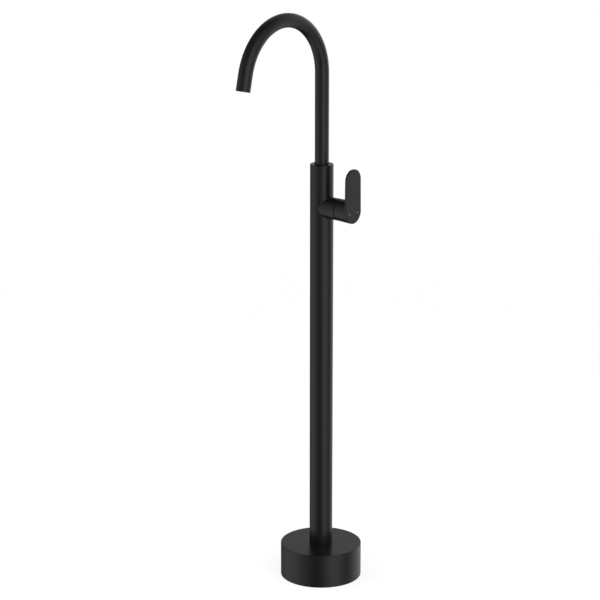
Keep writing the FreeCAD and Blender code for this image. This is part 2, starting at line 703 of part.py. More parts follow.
def port_seal_rings():
    """Three rubber rings between the cartridge's base and its seat."""
    body = new_body("port_seal_rings", z="valve_height")
    sketch = new_sketch(body, "YZ_Plane", "seat_x + port_ring_depth / 2")
    draw_ports(sketch, "port_ring_width")
    draw_ports(sketch, "fit_gap")
    extrude(body, "Pad", sketch, "0", "port_ring_depth")


def fixed_ceramic_disc():
    """Ceramic disc that stays still, with the three ports."""
    body = new_body("fixed_ceramic_disc", z="valve_height")
    face = f"{DISC_FACE} + disc_thickness"
    pad(body, "YZ_Plane", DISC_FACE, face, draw_circle, FIXED_DISC_RADIUS)
    cut(body, "YZ_Plane", DISC_FACE, face, draw_ports, "0")


def moving_ceramic_disc():
    """Ceramic disc that slides over the fixed one, with a mixing recess in its face."""
    body = new_body("moving_ceramic_disc", z="valve_height - disc_rest_offset")
    face = f"{DISC_FACE} + disc_thickness"
    pad(body, "YZ_Plane", face, CARRIER_FACE, draw_circle, MOVING_DISC_RADIUS)
    cut(
        body, "YZ_Plane", face, f"{face} + disc_chamber_depth",
        draw_circle, "disc_chamber_radius",
    )


def disc_carrier():
    """Plastic carrier on the sliding disc, with a hole for the stem's ball."""
    body = new_body("disc_carrier", z="valve_height")
    end = f"{CARRIER_FACE} + carrier_thickness"
    pad(
        body, "YZ_Plane", CARRIER_FACE, end, draw_box,
        f"-{CARRIER_HALF_WIDTH}", CARRIER_HALF_WIDTH,
        "-carrier_half_length", "carrier_half_length",
    )
    cut(body, "YZ_Plane", CARRIER_FACE, end, draw_circle, "ball_radius + free_gap")


def cartridge_housing():
    """Plastic shell: wide part around the discs, neck around the rotor, and lip."""
    body = new_body("cartridge_housing", z="valve_height")
    lip_radius = "rotor_radius - lip_cover"
    revolve(body, [
        (DISC_FACE, CAVITY_RADIUS),
        (f"{ROTOR_FACE} - free_gap", CAVITY_RADIUS),
        (f"{ROTOR_FACE} - free_gap", NECK_BORE),
        (LIP_FACE, NECK_BORE),
        (LIP_FACE, lip_radius),
        (NECK_END, lip_radius),
        (NECK_END, NECK_RADIUS),
        (SHOULDER, NECK_RADIUS),
        (SHOULDER, CARTRIDGE_RADIUS),
        (DISC_FACE, CARTRIDGE_RADIUS),
    ], axis="H_Axis")


def cartridge_rotor():
    """Plastic rotor that turns in the neck, slotted for the stem, with two dogs."""
    body = new_body("cartridge_rotor", z="valve_height")
    end = f"{LIP_FACE} - running_gap"
    slot_side = "stem_width / 2 + running_gap"
    pad(body, "YZ_Plane", ROTOR_FACE, end, draw_circle, "rotor_radius")
    cut(
        body, "YZ_Plane", ROTOR_FACE, end, draw_box,
        f"-({slot_side})", slot_side, "-slot_below", "slot_above",
    )
    for side in ("1", "-1"):
        inner = f"{side} * {DOG_INNER}"
        outer = f"{side} * {DOG_OUTER}"
        left, right = (inner, outer) if side == "1" else (outer, inner)
        pad(
            body, "YZ_Plane", f"{CARRIER_FACE} + free_gap", ROTOR_FACE, draw_box,
            left, right, "-dog_half_length", "dog_half_length",
        )
    cut(body, "XZ_Plane", "-rotor_radius", "rotor_radius", draw_circle, "pin_radius", PIVOT_X)


def tilt_pin():
    """Steel pin across the rotor, on which the lever's stem tilts."""
    body = new_body("tilt_pin", x=PIVOT_X, z="valve_height")
    half = "(rotor_radius - pin_inset)"
    pad(body, "XZ_Plane", f"-{half}", half, draw_circle, "pin_radius")


def retaining_nut():
    """Ring nut in the barrel that presses the cartridge on its seat."""
    body = new_body("retaining_nut", z="valve_height")
    revolve(body, [
        (SHOULDER, f"{NECK_RADIUS} + fit_gap"),
        (NUT_END, f"{NECK_RADIUS} + fit_gap"),
        (NUT_END, f"{BARREL_BORE} - fit_gap"),
        (SHOULDER, f"{BARREL_BORE} - fit_gap"),
    ], axis="H_Axis")
    notch = cut(
        body, "YZ_Plane", f"{NUT_END} - nut_notch_depth", NUT_END,
        draw_circle, "nut_notch_radius", f"{NECK_RADIUS} + nut_notch_radius / 2",
    )
    repeat_around(body, [notch], "nut_notch_count", "X_Axis")


def dome_cover():
    """Dome screwed into the barrel; it stays in the lever's skirt when the lever tilts."""
    body = new_body("dome_cover", z="valve_height")
    inner_start = f"{PIVOT_X} + sqrt({DOME_INSIDE} ^ 2 - {DOME_BORE} ^ 2)"
    revolve(body, [
        (SKIRT_START, DOME_BORE),
        (inner_start, DOME_BORE, DOME_INSIDE, -1),
        (f"{PIVOT_X} + sqrt({DOME_INSIDE} ^ 2 - dome_opening ^ 2)", "dome_opening"),
        (f"{PIVOT_X} + sqrt({DOME_RADIUS} ^ 2 - dome_opening ^ 2)", "dome_opening",
         DOME_RADIUS, 1),
        (BARREL_END, DOME_EDGE),
        (BARREL_END, f"{BARREL_BORE} - fit_gap"),
        (SKIRT_START, f"{BARREL_BORE} - fit_gap"),
    ], axis="H_Axis")


# Lever


def lever_stem():
    """Square steel stem with a pivot hole, and a ball arm that moves the disc carrier."""
    body = new_body("lever_stem", z="valve_height")
    half = "stem_width / 2"
    arm_start = f"{BALL_X} + sqrt(ball_radius ^ 2 - ball_arm_radius ^ 2)"
    pad(
        body, "YZ_Plane", f"{PIVOT_X} - stem_tail", STEM_END,
        draw_box, f"-{half}", half, f"-{half}", half,
    )
    revolve(body, [
        (f"{BALL_X} - ball_radius", "0", "ball_radius", -1),
        (arm_start, "ball_arm_radius"),
        (f"{PIVOT_X} - stem_tail", "ball_arm_radius"),
        (f"{PIVOT_X} - stem_tail", "0"),
    ], axis="H_Axis")
    cut(
        body, "XZ_Plane", f"-{half}", half,
        draw_circle, "pin_radius + fit_gap", PIVOT_X,
    )


def blade_outline():
    """Outline of the blade, seen along the valve axis.

    A round lower end about the valve axis, two straight sides that lean inwards and
    touch it, an arc above each shoulder, and an arc at the tip that touches both.
    """
    lean = (
        "(atan(shoulder_rise / shoulder_half_width) - "
        "acos(paddle_radius / sqrt(shoulder_rise ^ 2 + shoulder_half_width ^ 2)))"
    )
    tip_radius = "(shoulder_half_width - tip_inset)"
    tip_rise = f"(blade_rise - {tip_radius})"
    drop = f"({tip_rise} - shoulder_rise)"
    shoulder_radius = (
        f"((shoulder_half_width ^ 2 + {drop} ^ 2 - {tip_radius} ^ 2) / "
        f"(2 * (shoulder_half_width * cos({lean}) - {drop} * sin({lean}) - {tip_radius})))"
    )
    middle_x = f"(shoulder_half_width - {shoulder_radius} * cos({lean}))"
    middle_y = f"(shoulder_rise - {shoulder_radius} * sin({lean}))"
    reach = f"({tip_radius} / ({shoulder_radius} - {tip_radius}))"
    touch_x = f"(-{middle_x} * {reach})"
    touch_y = f"({tip_rise} + ({tip_rise} - {middle_y}) * {reach})"
    root_x = f"paddle_radius * cos({lean})"
    root_y = f"paddle_radius * sin({lean})"
    return [
        ("0", "-paddle_radius", "paddle_radius", 1),
        (root_x, root_y),
        ("shoulder_half_width", "shoulder_rise", shoulder_radius, 1),
        (touch_x, touch_y, tip_radius, 1),
        (f"-{touch_x}", touch_y, shoulder_radius, 1),
        ("-shoulder_half_width", "shoulder_rise"),
        (f"-{root_x}", root_y, "paddle_radius", 1),
    ]


def draw_blade_surround(sketch):
    """Everything around the blade's outline, out to a circle past the hub's flare."""
    draw_outline(sketch, blade_outline())
    draw_circle(sketch, "paddle_radius + blade_rise")


def lever_handle():
    """One piece lever: flared hub with a ball socket, and a flat blade with a round tip."""
    body = new_body("lever_handle", z="valve_height")
    flare_start = f"({BLADE_BACK} - hub_fillet)"
    hub_end = f"(paddle_radius - {HUB_FLARE} * hub_fillet)"
    revolve(body, [
        (SEAM, "0"),
        (BLADE_BACK, "0"),
        (BLADE_BACK, f"{hub_end} + hub_fillet", "hub_fillet", -1),
        (flare_start, hub_end),
        (SEAM, BARREL_RADIUS),
    ], axis="H_Axis")
    cut(body, "YZ_Plane", flare_start, BLADE_BACK, draw_blade_surround)
    blade = pad(body, "YZ_Plane", BLADE_BACK, FACE, draw_outline, blade_outline())
    face = value(FACE)

    def is_face_rim(edge):
        """An edge of the flat outer face."""
        return all(abs(vertex.X - face) < EDGE_TOLERANCE for vertex in edge.Vertexes)

    round_edges(body, blade, "blade_edge", is_face_rim)
    socket = new_sketch(body, "XZ_Plane")
    draw_outline(socket, [
        (f"{SEAM} - skirt_rim", "0"),
        (f"{PIVOT_X} + {SOCKET_RADIUS}", "0", SOCKET_RADIUS, 1),
        (SEAM, f"{BARREL_RADIUS} - skirt_rim"),
        (f"{SEAM} - skirt_rim", f"{BARREL_RADIUS} - skirt_rim"),
    ])
    groove = body.newObject("PartDesign::Groove", "lever_handle_socket")
    groove.Profile = socket
    groove.ReferenceAxis = (socket, ["H_Axis"])
    groove.Angle = 360
    document.recompute()
    stem_side = "(stem_width / 2 + fit_gap)"
    cut(
        body, "YZ_Plane", PIVOT_X, f"{STEM_END} + fit_gap",
        draw_box, f"-{stem_side}", stem_side, f"-{stem_side}", stem_side,
    )
    cut(
        body, "XY_Plane", f"-{PLUG_SEAT}", "0",
        draw_circle, "set_screw_radius + fit_gap", SET_SCREW_X,
    )
    cut(
        body, "XY_Plane", "-2 * paddle_radius", f"-{PLUG_SEAT}",
        draw_circle, "plug_radius + fit_gap", SET_SCREW_X,
    )
    for side in ("1", "-1"):
        cut(
            body, "YZ_Plane", f"{FACE} - index_depth", f"{FACE} + index_depth",
            draw_circle, "index_radius + fit_gap", f"{side} * index_side", "-index_drop",
        )


def lever_set_screw():
    """Set screw under the hub that clamps the lever on its stem."""
    body = new_body("lever_set_screw", x=SET_SCREW_X, z="valve_height")
    tip = "stem_width / 2"
    pad(
        body, "XY_Plane", f"-{tip} - set_screw_length", f"-{tip}",
        draw_circle, "set_screw_radius",
    )


def set_screw_plug():
    """Plug that closes the set screw's hole."""
    body = new_body("set_screw_plug", x=SET_SCREW_X, z="valve_height")
    pad(
        body, "XY_Plane", f"-{PLUG_FACE}", f"-{PLUG_SEAT}", draw_circle, "plug_radius"
    )


def index_dot(label, side):
    """Small round temperature mark in the lever's face."""
    body = new_body(label, y=f"{side} * index_side", z="valve_height - index_drop")
    pad(
        body, "YZ_Plane", f"{FACE} - index_depth", f"{FACE} + index_proud",
        draw_circle, "index_radius",
    )


# Spout


def spout_socket():
    """Brass socket in the column's top, in which the spout's spigot turns."""
    body = new_body("spout_socket")
    bush_seat = f"{BUSH_RADIUS} + fit_gap"
    riser_seat = "riser_radius + fit_gap"
    top = f"{COLUMN_TOP} - top_plate"
    revolve(body, [
        (BODY_RADIUS, SOCKET_END),
        (BODY_RADIUS, top),
        (bush_seat, top),
        (bush_seat, BUSH_FLOOR),
        (SPIGOT_SOCKET, BUSH_FLOOR),
        (SPIGOT_SOCKET, CHAMBER_FLOOR),
        (riser_seat, CHAMBER_FLOOR),
        (riser_seat, SOCKET_END),
    ])
    cut(
        body, "XZ_Plane", "0", "column_radius",
        draw_circle, "stop_screw_radius + fit_gap", "0", STOP_HEIGHT,
    )


def swivel_bush():
    """Dark plastic bush that guides and carries the spout in the column's top."""
    body = new_body("swivel_bush")
    shelf = f"{BUSH_FLOOR} + bush_lip"
    revolve(body, [
        (f"{SPIGOT_RADIUS} + free_gap", BUSH_FLOOR),
        (BUSH_RADIUS, BUSH_FLOOR),
        (BUSH_RADIUS, f"{COLUMN_TOP} - bush_recess"),
        ("spout_radius + running_gap", f"{COLUMN_TOP} - bush_recess"),
        ("spout_radius + running_gap", shelf),
        (f"{SPIGOT_RADIUS} + free_gap", shelf),
    ])


def spout_spigot():
    """Brass spigot brazed into the spout: two O-ring grooves and a stop groove."""
    body = new_body("spout_spigot", z=SPIGOT_END)
    lower = f"seal_first - {SEAL_WIDTH} / 2"
    upper = f"seal_first + seal_pitch - {SEAL_WIDTH} / 2"
    corners = [(SPIGOT_BORE, "0"), (SPIGOT_RADIUS, "0")]
    for start in (lower, upper):
        corners += [
            (SPIGOT_RADIUS, start),
            (SEAL_FLOOR, start),
            (SEAL_FLOOR, f"{start} + {SEAL_WIDTH}"),
            (SPIGOT_RADIUS, f"{start} + {SEAL_WIDTH}"),
        ]
    corners += [
        (SPIGOT_RADIUS, SPIGOT_LENGTH),
        (f"{SPOUT_BORE} - fit_gap", SPIGOT_LENGTH),
        (f"{SPOUT_BORE} - fit_gap", f"{SPIGOT_LENGTH} + spigot_tongue"),
        (SPIGOT_BORE, f"{SPIGOT_LENGTH} + spigot_tongue"),
    ]
    revolve(body, corners)
    before = body.Shape.Volume
    sketch = new_sketch(body, "YZ_Plane")
    draw_box(
        sketch, STOP_FLOOR, SPIGOT_SOCKET,
        f"{STOP_RISE} - stop_groove_height / 2", f"{STOP_RISE} + stop_groove_height / 2",
    )
    groove = body.newObject("PartDesign::Groove", "stop_groove")
    groove.Profile = sketch
    groove.ReferenceAxis = (sketch, ["V_Axis"])
    groove.Midplane = True
    groove.setExpression("Angle", bound("stop_groove_angle"))
    document.recompute()
    if not body.Shape.Volume < before:
        raise RuntimeError("the stop groove takes nothing away")


def spigot_seal_rings():
    """Two rubber O-rings on the spigot."""
    body = new_body("spigot_seal_rings", z=SPIGOT_END)
    sketch = new_sketch(body, "XZ_Plane")
    draw_circle(sketch, "seal_cord", f"{SPIGOT_SOCKET} - fit_gap - seal_cord", "seal_first")
    turned = body.newObject("PartDesign::Revolution", "seal_ring")
    turned.Profile = sketch
    turned.ReferenceAxis = (sketch, ["V_Axis"])
    document.recompute()
    repeat_along(body, [turned], "seal_pitch")


def spout_stop_screw():
    """Set screw at the back of the column whose tip runs in the spigot's groove."""
    body = new_body("spout_stop_screw", z=STOP_HEIGHT)
    shank = f"{SPIGOT_SOCKET} + free_gap"
    revolve(body, [
        (f"{STOP_FLOOR} + stop_tip_clearance", "0"),
        (f"{STOP_FLOOR} + stop_tip_clearance", "stop_tip_radius"),
        (shank, "stop_tip_radius"),
        (shank, "stop_screw_radius"),
        ("column_radius - fit_gap", "stop_screw_radius"),
        ("column_radius - fit_gap", "0"),
    ], plane="YZ_Plane", axis="H_Axis")


def spout_tube():
    """Bent tube: straight up, round the bend, and straight down to a square cut."""
    body = new_body("spout_tube", z=TUBE_END)
    straight = f"{SPOUT_RISE} - {TUBE_END}"
    rise = value(straight)
    radius = value("bend_radius")
    turn = math.radians(value("bend_angle"))
    middle = Vector(-radius, rise, 0)
    bend = Part.ArcOfCircle(Part.Circle(middle, Vector(0, 0, 1), radius), 0, turn)
    path = new_sketch(body, "YZ_Plane")
    path.addGeometry(Part.LineSegment(Vector(0, 0, 0), Vector(0, rise, 0)))
    path.addGeometry(bend)
    along = bend.tangent(bend.LastParameter)[0]
    path.addGeometry(
        Part.LineSegment(bend.EndPoint, bend.EndPoint + along * value("spout_tail"))
    )
    path.addConstraint(Sketcher.Constraint("Coincident", 0, 1, -1, 1))
    path.addConstraint(Sketcher.Constraint("PointOnObject", 0, 2, -2))
    path.addConstraint(Sketcher.Constraint("Tangent", 0, 2, 1, 1))
    path.addConstraint(Sketcher.Constraint("Tangent", 1, 2, 2, 1))
    bind(path, Sketcher.Constraint("DistanceY", 0, 1, 0, 2, rise), straight)
    bind(path, Sketcher.Constraint("Radius", 1, radius), "bend_radius")
    bind(path, Sketcher.Constraint("Angle", 1, turn), "bend_angle * 1deg")
    bind(path, Sketcher.Constraint("Distance", 2, value("spout_tail")), "spout_tail")
    section = new_sketch(body, "XY_Plane")
    draw_circle(section, "spout_radius")
    draw_circle(section, SPOUT_BORE)
    pipe = body.newObject("PartDesign::AdditivePipe", "spout_sweep")
    pipe.Profile = section
    pipe.Spine = (path, [])
    document.recompute()
    end = bend.EndPoint + along * value("spout_tail")

    def is_outlet_rim(edge):
        """The outer circle of the cut end."""
        curve = edge.Curve
        if not isinstance(curve, Part.Circle):
            return False
        off_place = (curve.Center - Vector(0, end.x, end.y)).Length
        off_radius = abs(curve.Radius - value("spout_radius"))
        return off_place < EDGE_TOLERANCE and off_radius < EDGE_TOLERANCE

    round_edges(body, pipe, "spout_edge", is_outlet_rim)


def at_outlet(body):
    """Place a body at the spout's cut end, its own +Z pointing out of the spout."""
    body.setExpression(
        "Placement.Base.y",
        bound("bend_radius * (cos(bend_angle) - 1) - spout_tail * sin(bend_angle)"),
    )
    body.setExpression(
        "Placement.Base.z",
        bound(f"{SPOUT_RISE} + bend_radius * sin(bend_angle) + spout_tail * cos(bend_angle)"),
    )
    body.Placement.Rotation = Rotation(Vector(1, 0, 0), value("bend_angle"))
    body.setExpression("Placement.Rotation.Angle", bound("bend_angle * 1deg"))


def aerator_housing():
    """Screwed ring in the outlet that holds the flow straightener."""
    body = ring(
        "aerator_housing", AERATOR_BORE, f"{SPOUT_BORE} - fit_gap",
        "-aerator_recess - aerator_length", "-aerator_recess",
    )
    at_outlet(body)


def flow_straightener():
    """Plastic insert with a hole in the middle and a ring of holes around it."""
    body = new_body("flow_straightener")
    low = "-aerator_recess - insert_recess - insert_length"
    high = "-aerator_recess - insert_recess"
    pad(body, "XY_Plane", low, high, draw_circle, INSERT_RADIUS)
    cut(body, "XY_Plane", low, high, draw_circle, "jet_radius")
    jet = cut(body, "XY_Plane", low, high, draw_circle, "jet_radius", JET_CIRCLE)
    repeat_around(body, [jet], "jet_count")
    at_outlet(body)


def aerator_gasket():
    """Rubber ring behind the aerator's housing."""
    back = "-aerator_recess - aerator_length"
    body = ring(
        "aerator_gasket", GASKET_BORE, f"{SPOUT_BORE} - fit_gap",
        f"{back} - gasket_thickness", back,
    )
    at_outlet(body)


def build():
    """Make every sub-part of the bath filler."""
    floor_flange()
    flange_clamp_screws()
    base_cover()
    cover_seal_ring()
    column_tube()
    supply_pipe("hot_supply_pipe", "-1")
    supply_pipe("cold_supply_pipe", "1")
    inlet_tail("hot_inlet_tail", "-1")
    inlet_tail("cold_inlet_tail", "1")
    pipe_spacers()
    pipe_seal_rings()
    mixer_body()
    riser_tube()
    valve_barrel()
    cartridge_base()
    port_seal_rings()
    fixed_ceramic_disc()
    moving_ceramic_disc()
    disc_carrier()
    cartridge_housing()
    cartridge_rotor()
    tilt_pin()
    retaining_nut()
    dome_cover()
    lever_stem()
    lever_handle()
    lever_set_screw()
    set_screw_plug()
    index_dot("hot_index_dot", "-1")
    index_dot("cold_index_dot", "1")
    spout_socket()
    swivel_bush()
    spout_spigot()
    spigot_seal_rings()
    spout_stop_screw()
    spout_tube()
    aerator_housing()
    flow_straightener()
    aerator_gasket()


def check_and_write():
    """Stop at anything that failed; otherwise write one file for each sub-part."""
    document.recompute()
    for item in document.Objects:
        if {"Invalid", "Error"} & set(item.State):
            raise RuntimeError(f"{item.Label} failed: {item.State}")
    bodies = [item for item in document.Objects if item.TypeId == "PartDesign::Body"]
    for body in bodies:
        if body.Shape.isNull() or not body.Shape.isValid() or not body.Shape.Solids:
            raise RuntimeError(f"{body.Label} has no valid shape")
    os.makedirs("parts", exist_ok=True)
    for body in bodies:
        body.Shape.exportStep(f"parts/{body.Label}.step")
        print(f"{body.Label}: {len(body.Shape.Solids)} solid(s), {body.Shape.Volume:.1f} mm3")


build()
check_and_write()
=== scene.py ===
import json
import math

import bmesh
import bpy
import numpy as np
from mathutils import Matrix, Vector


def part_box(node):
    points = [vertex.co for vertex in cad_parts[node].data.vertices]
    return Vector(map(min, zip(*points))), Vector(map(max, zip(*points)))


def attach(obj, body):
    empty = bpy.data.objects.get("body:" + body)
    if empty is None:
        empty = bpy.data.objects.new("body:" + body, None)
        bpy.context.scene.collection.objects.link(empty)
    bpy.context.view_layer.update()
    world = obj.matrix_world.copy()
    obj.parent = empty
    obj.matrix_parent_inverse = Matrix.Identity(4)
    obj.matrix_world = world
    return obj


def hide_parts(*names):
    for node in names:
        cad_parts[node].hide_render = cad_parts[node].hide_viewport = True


bl_info = {
    "name": "Floor Standing Bath Filler",
    "version": (1, 0, 0),
    "blender": (4, 5, 0),
    "location": "3D View > Sidebar > Bath Filler",
    "description": "Satin black floor standing bath filler with a side lever",
    "category": "Object",
}

# The frame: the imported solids, which fix every place and size. Metres, +Z up, the spout
# reaches along -Y and the lever along +X.
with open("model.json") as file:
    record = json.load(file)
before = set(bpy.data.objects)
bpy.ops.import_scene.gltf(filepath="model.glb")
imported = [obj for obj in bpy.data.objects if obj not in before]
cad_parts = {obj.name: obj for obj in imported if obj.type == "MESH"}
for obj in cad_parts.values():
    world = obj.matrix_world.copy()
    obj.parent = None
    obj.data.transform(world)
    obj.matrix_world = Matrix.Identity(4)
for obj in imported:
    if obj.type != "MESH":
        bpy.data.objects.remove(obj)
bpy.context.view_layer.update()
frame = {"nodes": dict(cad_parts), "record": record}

MM = 0.001
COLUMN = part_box("column_tube")
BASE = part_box("base_cover")
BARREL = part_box("valve_barrel")
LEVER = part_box("lever_handle")
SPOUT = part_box("spout_tube")
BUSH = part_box("swivel_bush")
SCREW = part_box("spout_stop_screw")
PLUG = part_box("set_screw_plug")
AXIS_Z = (BARREL[0].z + BARREL[1].z) / 2


# Sizes and colours that a user would change


def length(name, description, default):
    """A size in metres whose default comes from the frame or from the real part."""
    return bpy.props.FloatProperty(
        name=name, description=description, default=default, min=0, precision=5, unit="LENGTH"
    )


def tint(name, description, default):
    """A colour that is stored as linear red, green and blue."""
    return bpy.props.FloatVectorProperty(
        name=name, description=description, default=default, size=3, subtype="COLOR", min=0, max=1
    )


def share(name, description, default):
    """A plain number from 0 to 1."""
    return bpy.props.FloatProperty(
        name=name, description=description, default=default, min=0, max=1, subtype="FACTOR"
    )


class FillerSizes(bpy.types.PropertyGroup):
    """Sizes of the pieces that are drawn as smooth surfaces."""

    base_wall: length("Cover wall", "Wall of the foot's cover", 1.5 * MM)
    base_edge: length("Cover edge", "Rounding of the cover's upper edge", 0.9 * MM)
    column_wall: length("Column wall", "Wall of the column", 2 * MM)
    column_edge: length("Column edge", "Rounding of the column's upper edge", 1.2 * MM)
    top_plate: length("Top plate", "Thickness of the plate in the column's top", 3 * MM)
    cover_gap: length("Cover gap", "Gap between the cover's hole and the column", 0.3 * MM)
    opening_gap: length("Opening gap", "Gap between the top plate and the swivel bush", 0.05 * MM)
    barrel_wall: length("Barrel wall", "Wall of the valve barrel", 1.8 * MM)
    braze: length("Braze", "Radius of the braze between barrel and column", 2 * MM)
    screw_hole: length("Screw hole", "Radius of the stop screw's hole", 2.55 * MM)
    pivot_setback: length("Pivot setback", "Distance of the tilt axis behind the seam", 14 * MM)
    skirt_rim: length("Skirt rim", "Thickness of the lever's skirt at the seam", 0.7 * MM)
    seam_x: length("Seam", "Distance of the lever's seam from the column's axis", 44 * MM)
    blade: length("Blade", "Thickness of the lever's blade", 3.6 * MM)
    hub_fillet: length("Hub fillet", "Radius between the hub and the blade's back", 5.4 * MM)
    shoulder_rise: length("Shoulder rise", "Height of the blade's shoulders", 58.4 * MM)
    shoulder_half: length("Shoulder half width", "Half width at the shoulders", 20.4 * MM)
    tip_rise: length("Tip rise", "Height of the blade's tip above the valve's axis", 77.7 * MM)
    tip_radius: length("Tip radius", "Radius of the short arc in the middle of the tip", 27 * MM)
    face_edge: length("Face edge", "Rounding of the blade's face", 0.5 * MM)
    back_edge: length("Back edge", "Rounding of the blade's back", 0.35 * MM)
    hub_fade: length("Hub fade", "Blade beyond the hub circle where the fillet is full", 3 * MM)
    stem_bore: length("Stem bore", "Radius of the room for the stem in the socket", 8 * MM)
    plug_hole: length("Plug hole", "Radius of the hole under the hub", 3.15 * MM)
    spout_wall: length("Spout wall", "Wall of the spout's tube", 1.5 * MM)
    spout_straight: length("Spout straight", "Height where the spout's bend starts", 950.8 * MM)
    bend_radius: length("Bend radius", "Radius of the spout's bend", 104.3 * MM)
    spout_tail: length("Spout tail", "Straight tube between bend and outlet", 29.9 * MM)
    spout_edge: length("Spout edge", "Rounding of the outlet's edge", 0.5 * MM)
    fine_edge: length("Fine edge", "Softening of the edges that are only broken", 0.2 * MM)
    bend_angle: bpy.props.FloatProperty(
        name="Bend angle",
        description="Turn of the spout's bend",
        default=math.radians(166.8),
        unit="ROTATION",
    )


class FillerFinish(bpy.types.PropertyGroup):
    """Colours and gloss of the finishes."""

    coat: tint("Coat", "Black powder coat", (0.0042, 0.0042, 0.0045))
    coat_roughness: share("Coat roughness", "Roughness of the powder coat", 0.3)
    coat_grain: length("Coat grain", "Size of the powder coat's orange peel", 0.9 * MM)
    zinc: tint("Zinc", "Zinc plated steel", (0.56, 0.58, 0.58))
    steel: tint("Steel", "Stainless steel", (0.60, 0.60, 0.59))
    brass: tint("Brass", "Machined brass", (0.70, 0.50, 0.20))
    copper: tint("Copper", "Drawn copper tube", (0.72, 0.32, 0.18))
    rubber: tint("Rubber", "Sealing rubber", (0.018, 0.018, 0.018))
    ceramic: tint("Ceramic", "Lapped ceramic", (0.80, 0.78, 0.72))
    white_plastic: tint("White plastic", "Natural acetal", (0.70, 0.70, 0.66))
    black_plastic: tint("Black plastic", "Black acetal", (0.012, 0.012, 0.012))
    dark_metal: tint("Dark metal", "Dark plated brass", (0.06, 0.055, 0.05))
    grey_plastic: tint("Grey plastic", "Aerator insert", (0.20, 0.20, 0.21))
    index_grey: tint("Index grey", "Enamel of the two index dots", (0.115, 0.115, 0.12))


class FillerStudio(bpy.types.PropertyGroup):
    """Camera and light of the studio."""

    camera_place: bpy.props.FloatVectorProperty(
        name="Camera place",
        description="Where the camera stands",
        default=(2.5034, -3.0616, 1.62905),
        subtype="TRANSLATION",
        unit="LENGTH",
    )
    camera_turn: bpy.props.FloatVectorProperty(
        name="Camera turn",
        description="How the camera is turned",
        default=(math.radians(74.504), 0, math.radians(39.839)),
        subtype="EULER",
        unit="ROTATION",
    )
    camera_lens: bpy.props.FloatProperty(
        name="Lens", description="Focal length in millimetres", default=135.15, min=1
    )
    ambient: share("Ambient", "Strength of the room's light on the object", 0.9)
    key: bpy.props.FloatProperty(name="Key", description="Watts of the key soft box", default=60)
    fill: bpy.props.FloatProperty(name="Fill", description="Watts of the fill soft box", default=30)
    floor_size: length("Floor size", "Side of the floor", 16.0)
    floor_white: share("Floor white", "Share of plain white in the floor's look", 0.8)
    floor: tint("Floor", "Colour of the floor", (0.9, 0.9, 0.9))


# Shapes: surfaces as whole arrays


ARC_STEPS = 8
RING_STEPS = 192
SPOUT_STEPS = 96
DOT_STEPS = 48


def rounded(corners, closed=True):
    """Profile with rounded corners.

    Each corner is (x, y, radius). An arc of that radius touches both edges that meet
    there, so it starts radius / tan(half the inner angle) before the corner. A short
    support edge on each side keeps flat faces flat under smooth shading.
    """
    points = []
    count = len(corners)
    for number, (x, y, radius) in enumerate(corners):
        here = np.array([x, y])
        if radius <= 0 or (not closed and number in (0, count - 1)):
            points.append(here[None])
            continue
        back = np.array(corners[number - 1][:2]) - here
        ahead = np.array(corners[(number + 1) % count][:2]) - here
        room_back, room_ahead = np.linalg.norm(back), np.linalg.norm(ahead)
        back, ahead = back / room_back, ahead / room_ahead
        half = math.acos(np.clip(back @ ahead, -1, 1)) / 2
        reach = radius / math.tan(half)
        middle = here + (back + ahead) / np.linalg.norm(back + ahead) * radius / math.sin(half)
        turn = np.linspace(0, 1, ARC_STEPS + 1) * (math.pi - 2 * half)
        out = here + back * reach - middle
        arc = middle + np.cos(turn)[:, None] * out - np.sin(turn)[:, None] * back * radius
        support_back = here + back * min(reach + radius / 2, (reach + room_back) / 2)
        support_ahead = here + ahead * min(reach + radius / 2, (reach + room_ahead) / 2)
        points += [support_back[None], arc, support_ahead[None]]
    return np.concatenate(points)


def full_turn(steps):
    """Angles of one turn, without the last that would repeat the first."""
    return np.arange(steps) * 2 * math.pi / steps


def stretches(stops, steps):
    """Lines from the first stop to the last, with so many steps between two stops.

    Returns the lines, and for each stop the number of its line.
    """
    lines = [
        np.linspace(start, end, count, endpoint=False)
        for start, end, count in zip(stops, stops[1:], steps)
    ]
    return np.concatenate([*lines, stops[-1:]]), np.cumsum([0, *steps])


def grid_faces(rows, columns, close_rows=False, close_columns=False):
    """Four-cornered faces of a grid of points, closed round in either direction."""
    row = np.arange(rows if close_rows else rows - 1)
    column = np.arange(columns if close_columns else columns - 1)
    row, column = np.meshgrid(row, column, indexing="ij")
    below = (row + 1) % rows
    beside = (column + 1) % columns
    corners = (row * columns + column, row * columns + beside, below * columns + beside,
               below * columns + column)
    return np.stack(corners, axis=-1).reshape(-1, 4)


def turned(profile, angles, along="z", centre=(0, 0, 0)):
    """Surface of revolution.

    Point (i, j) is profile point i, given as (radius, distance along the axis), turned
    to angle j. Around X the angle runs from +Y to +Z, and around Z from +X to +Y.
    """
    radius = profile[:, 0][:, None]
    height = np.repeat(profile[:, 1][:, None], len(angles), axis=1)
    across = radius * np.cos(angles)
    up = radius * np.sin(angles)
    stack = (height, across, up) if along == "x" else (across, up, height)
    return np.stack(stack, axis=-1) + np.array(centre)


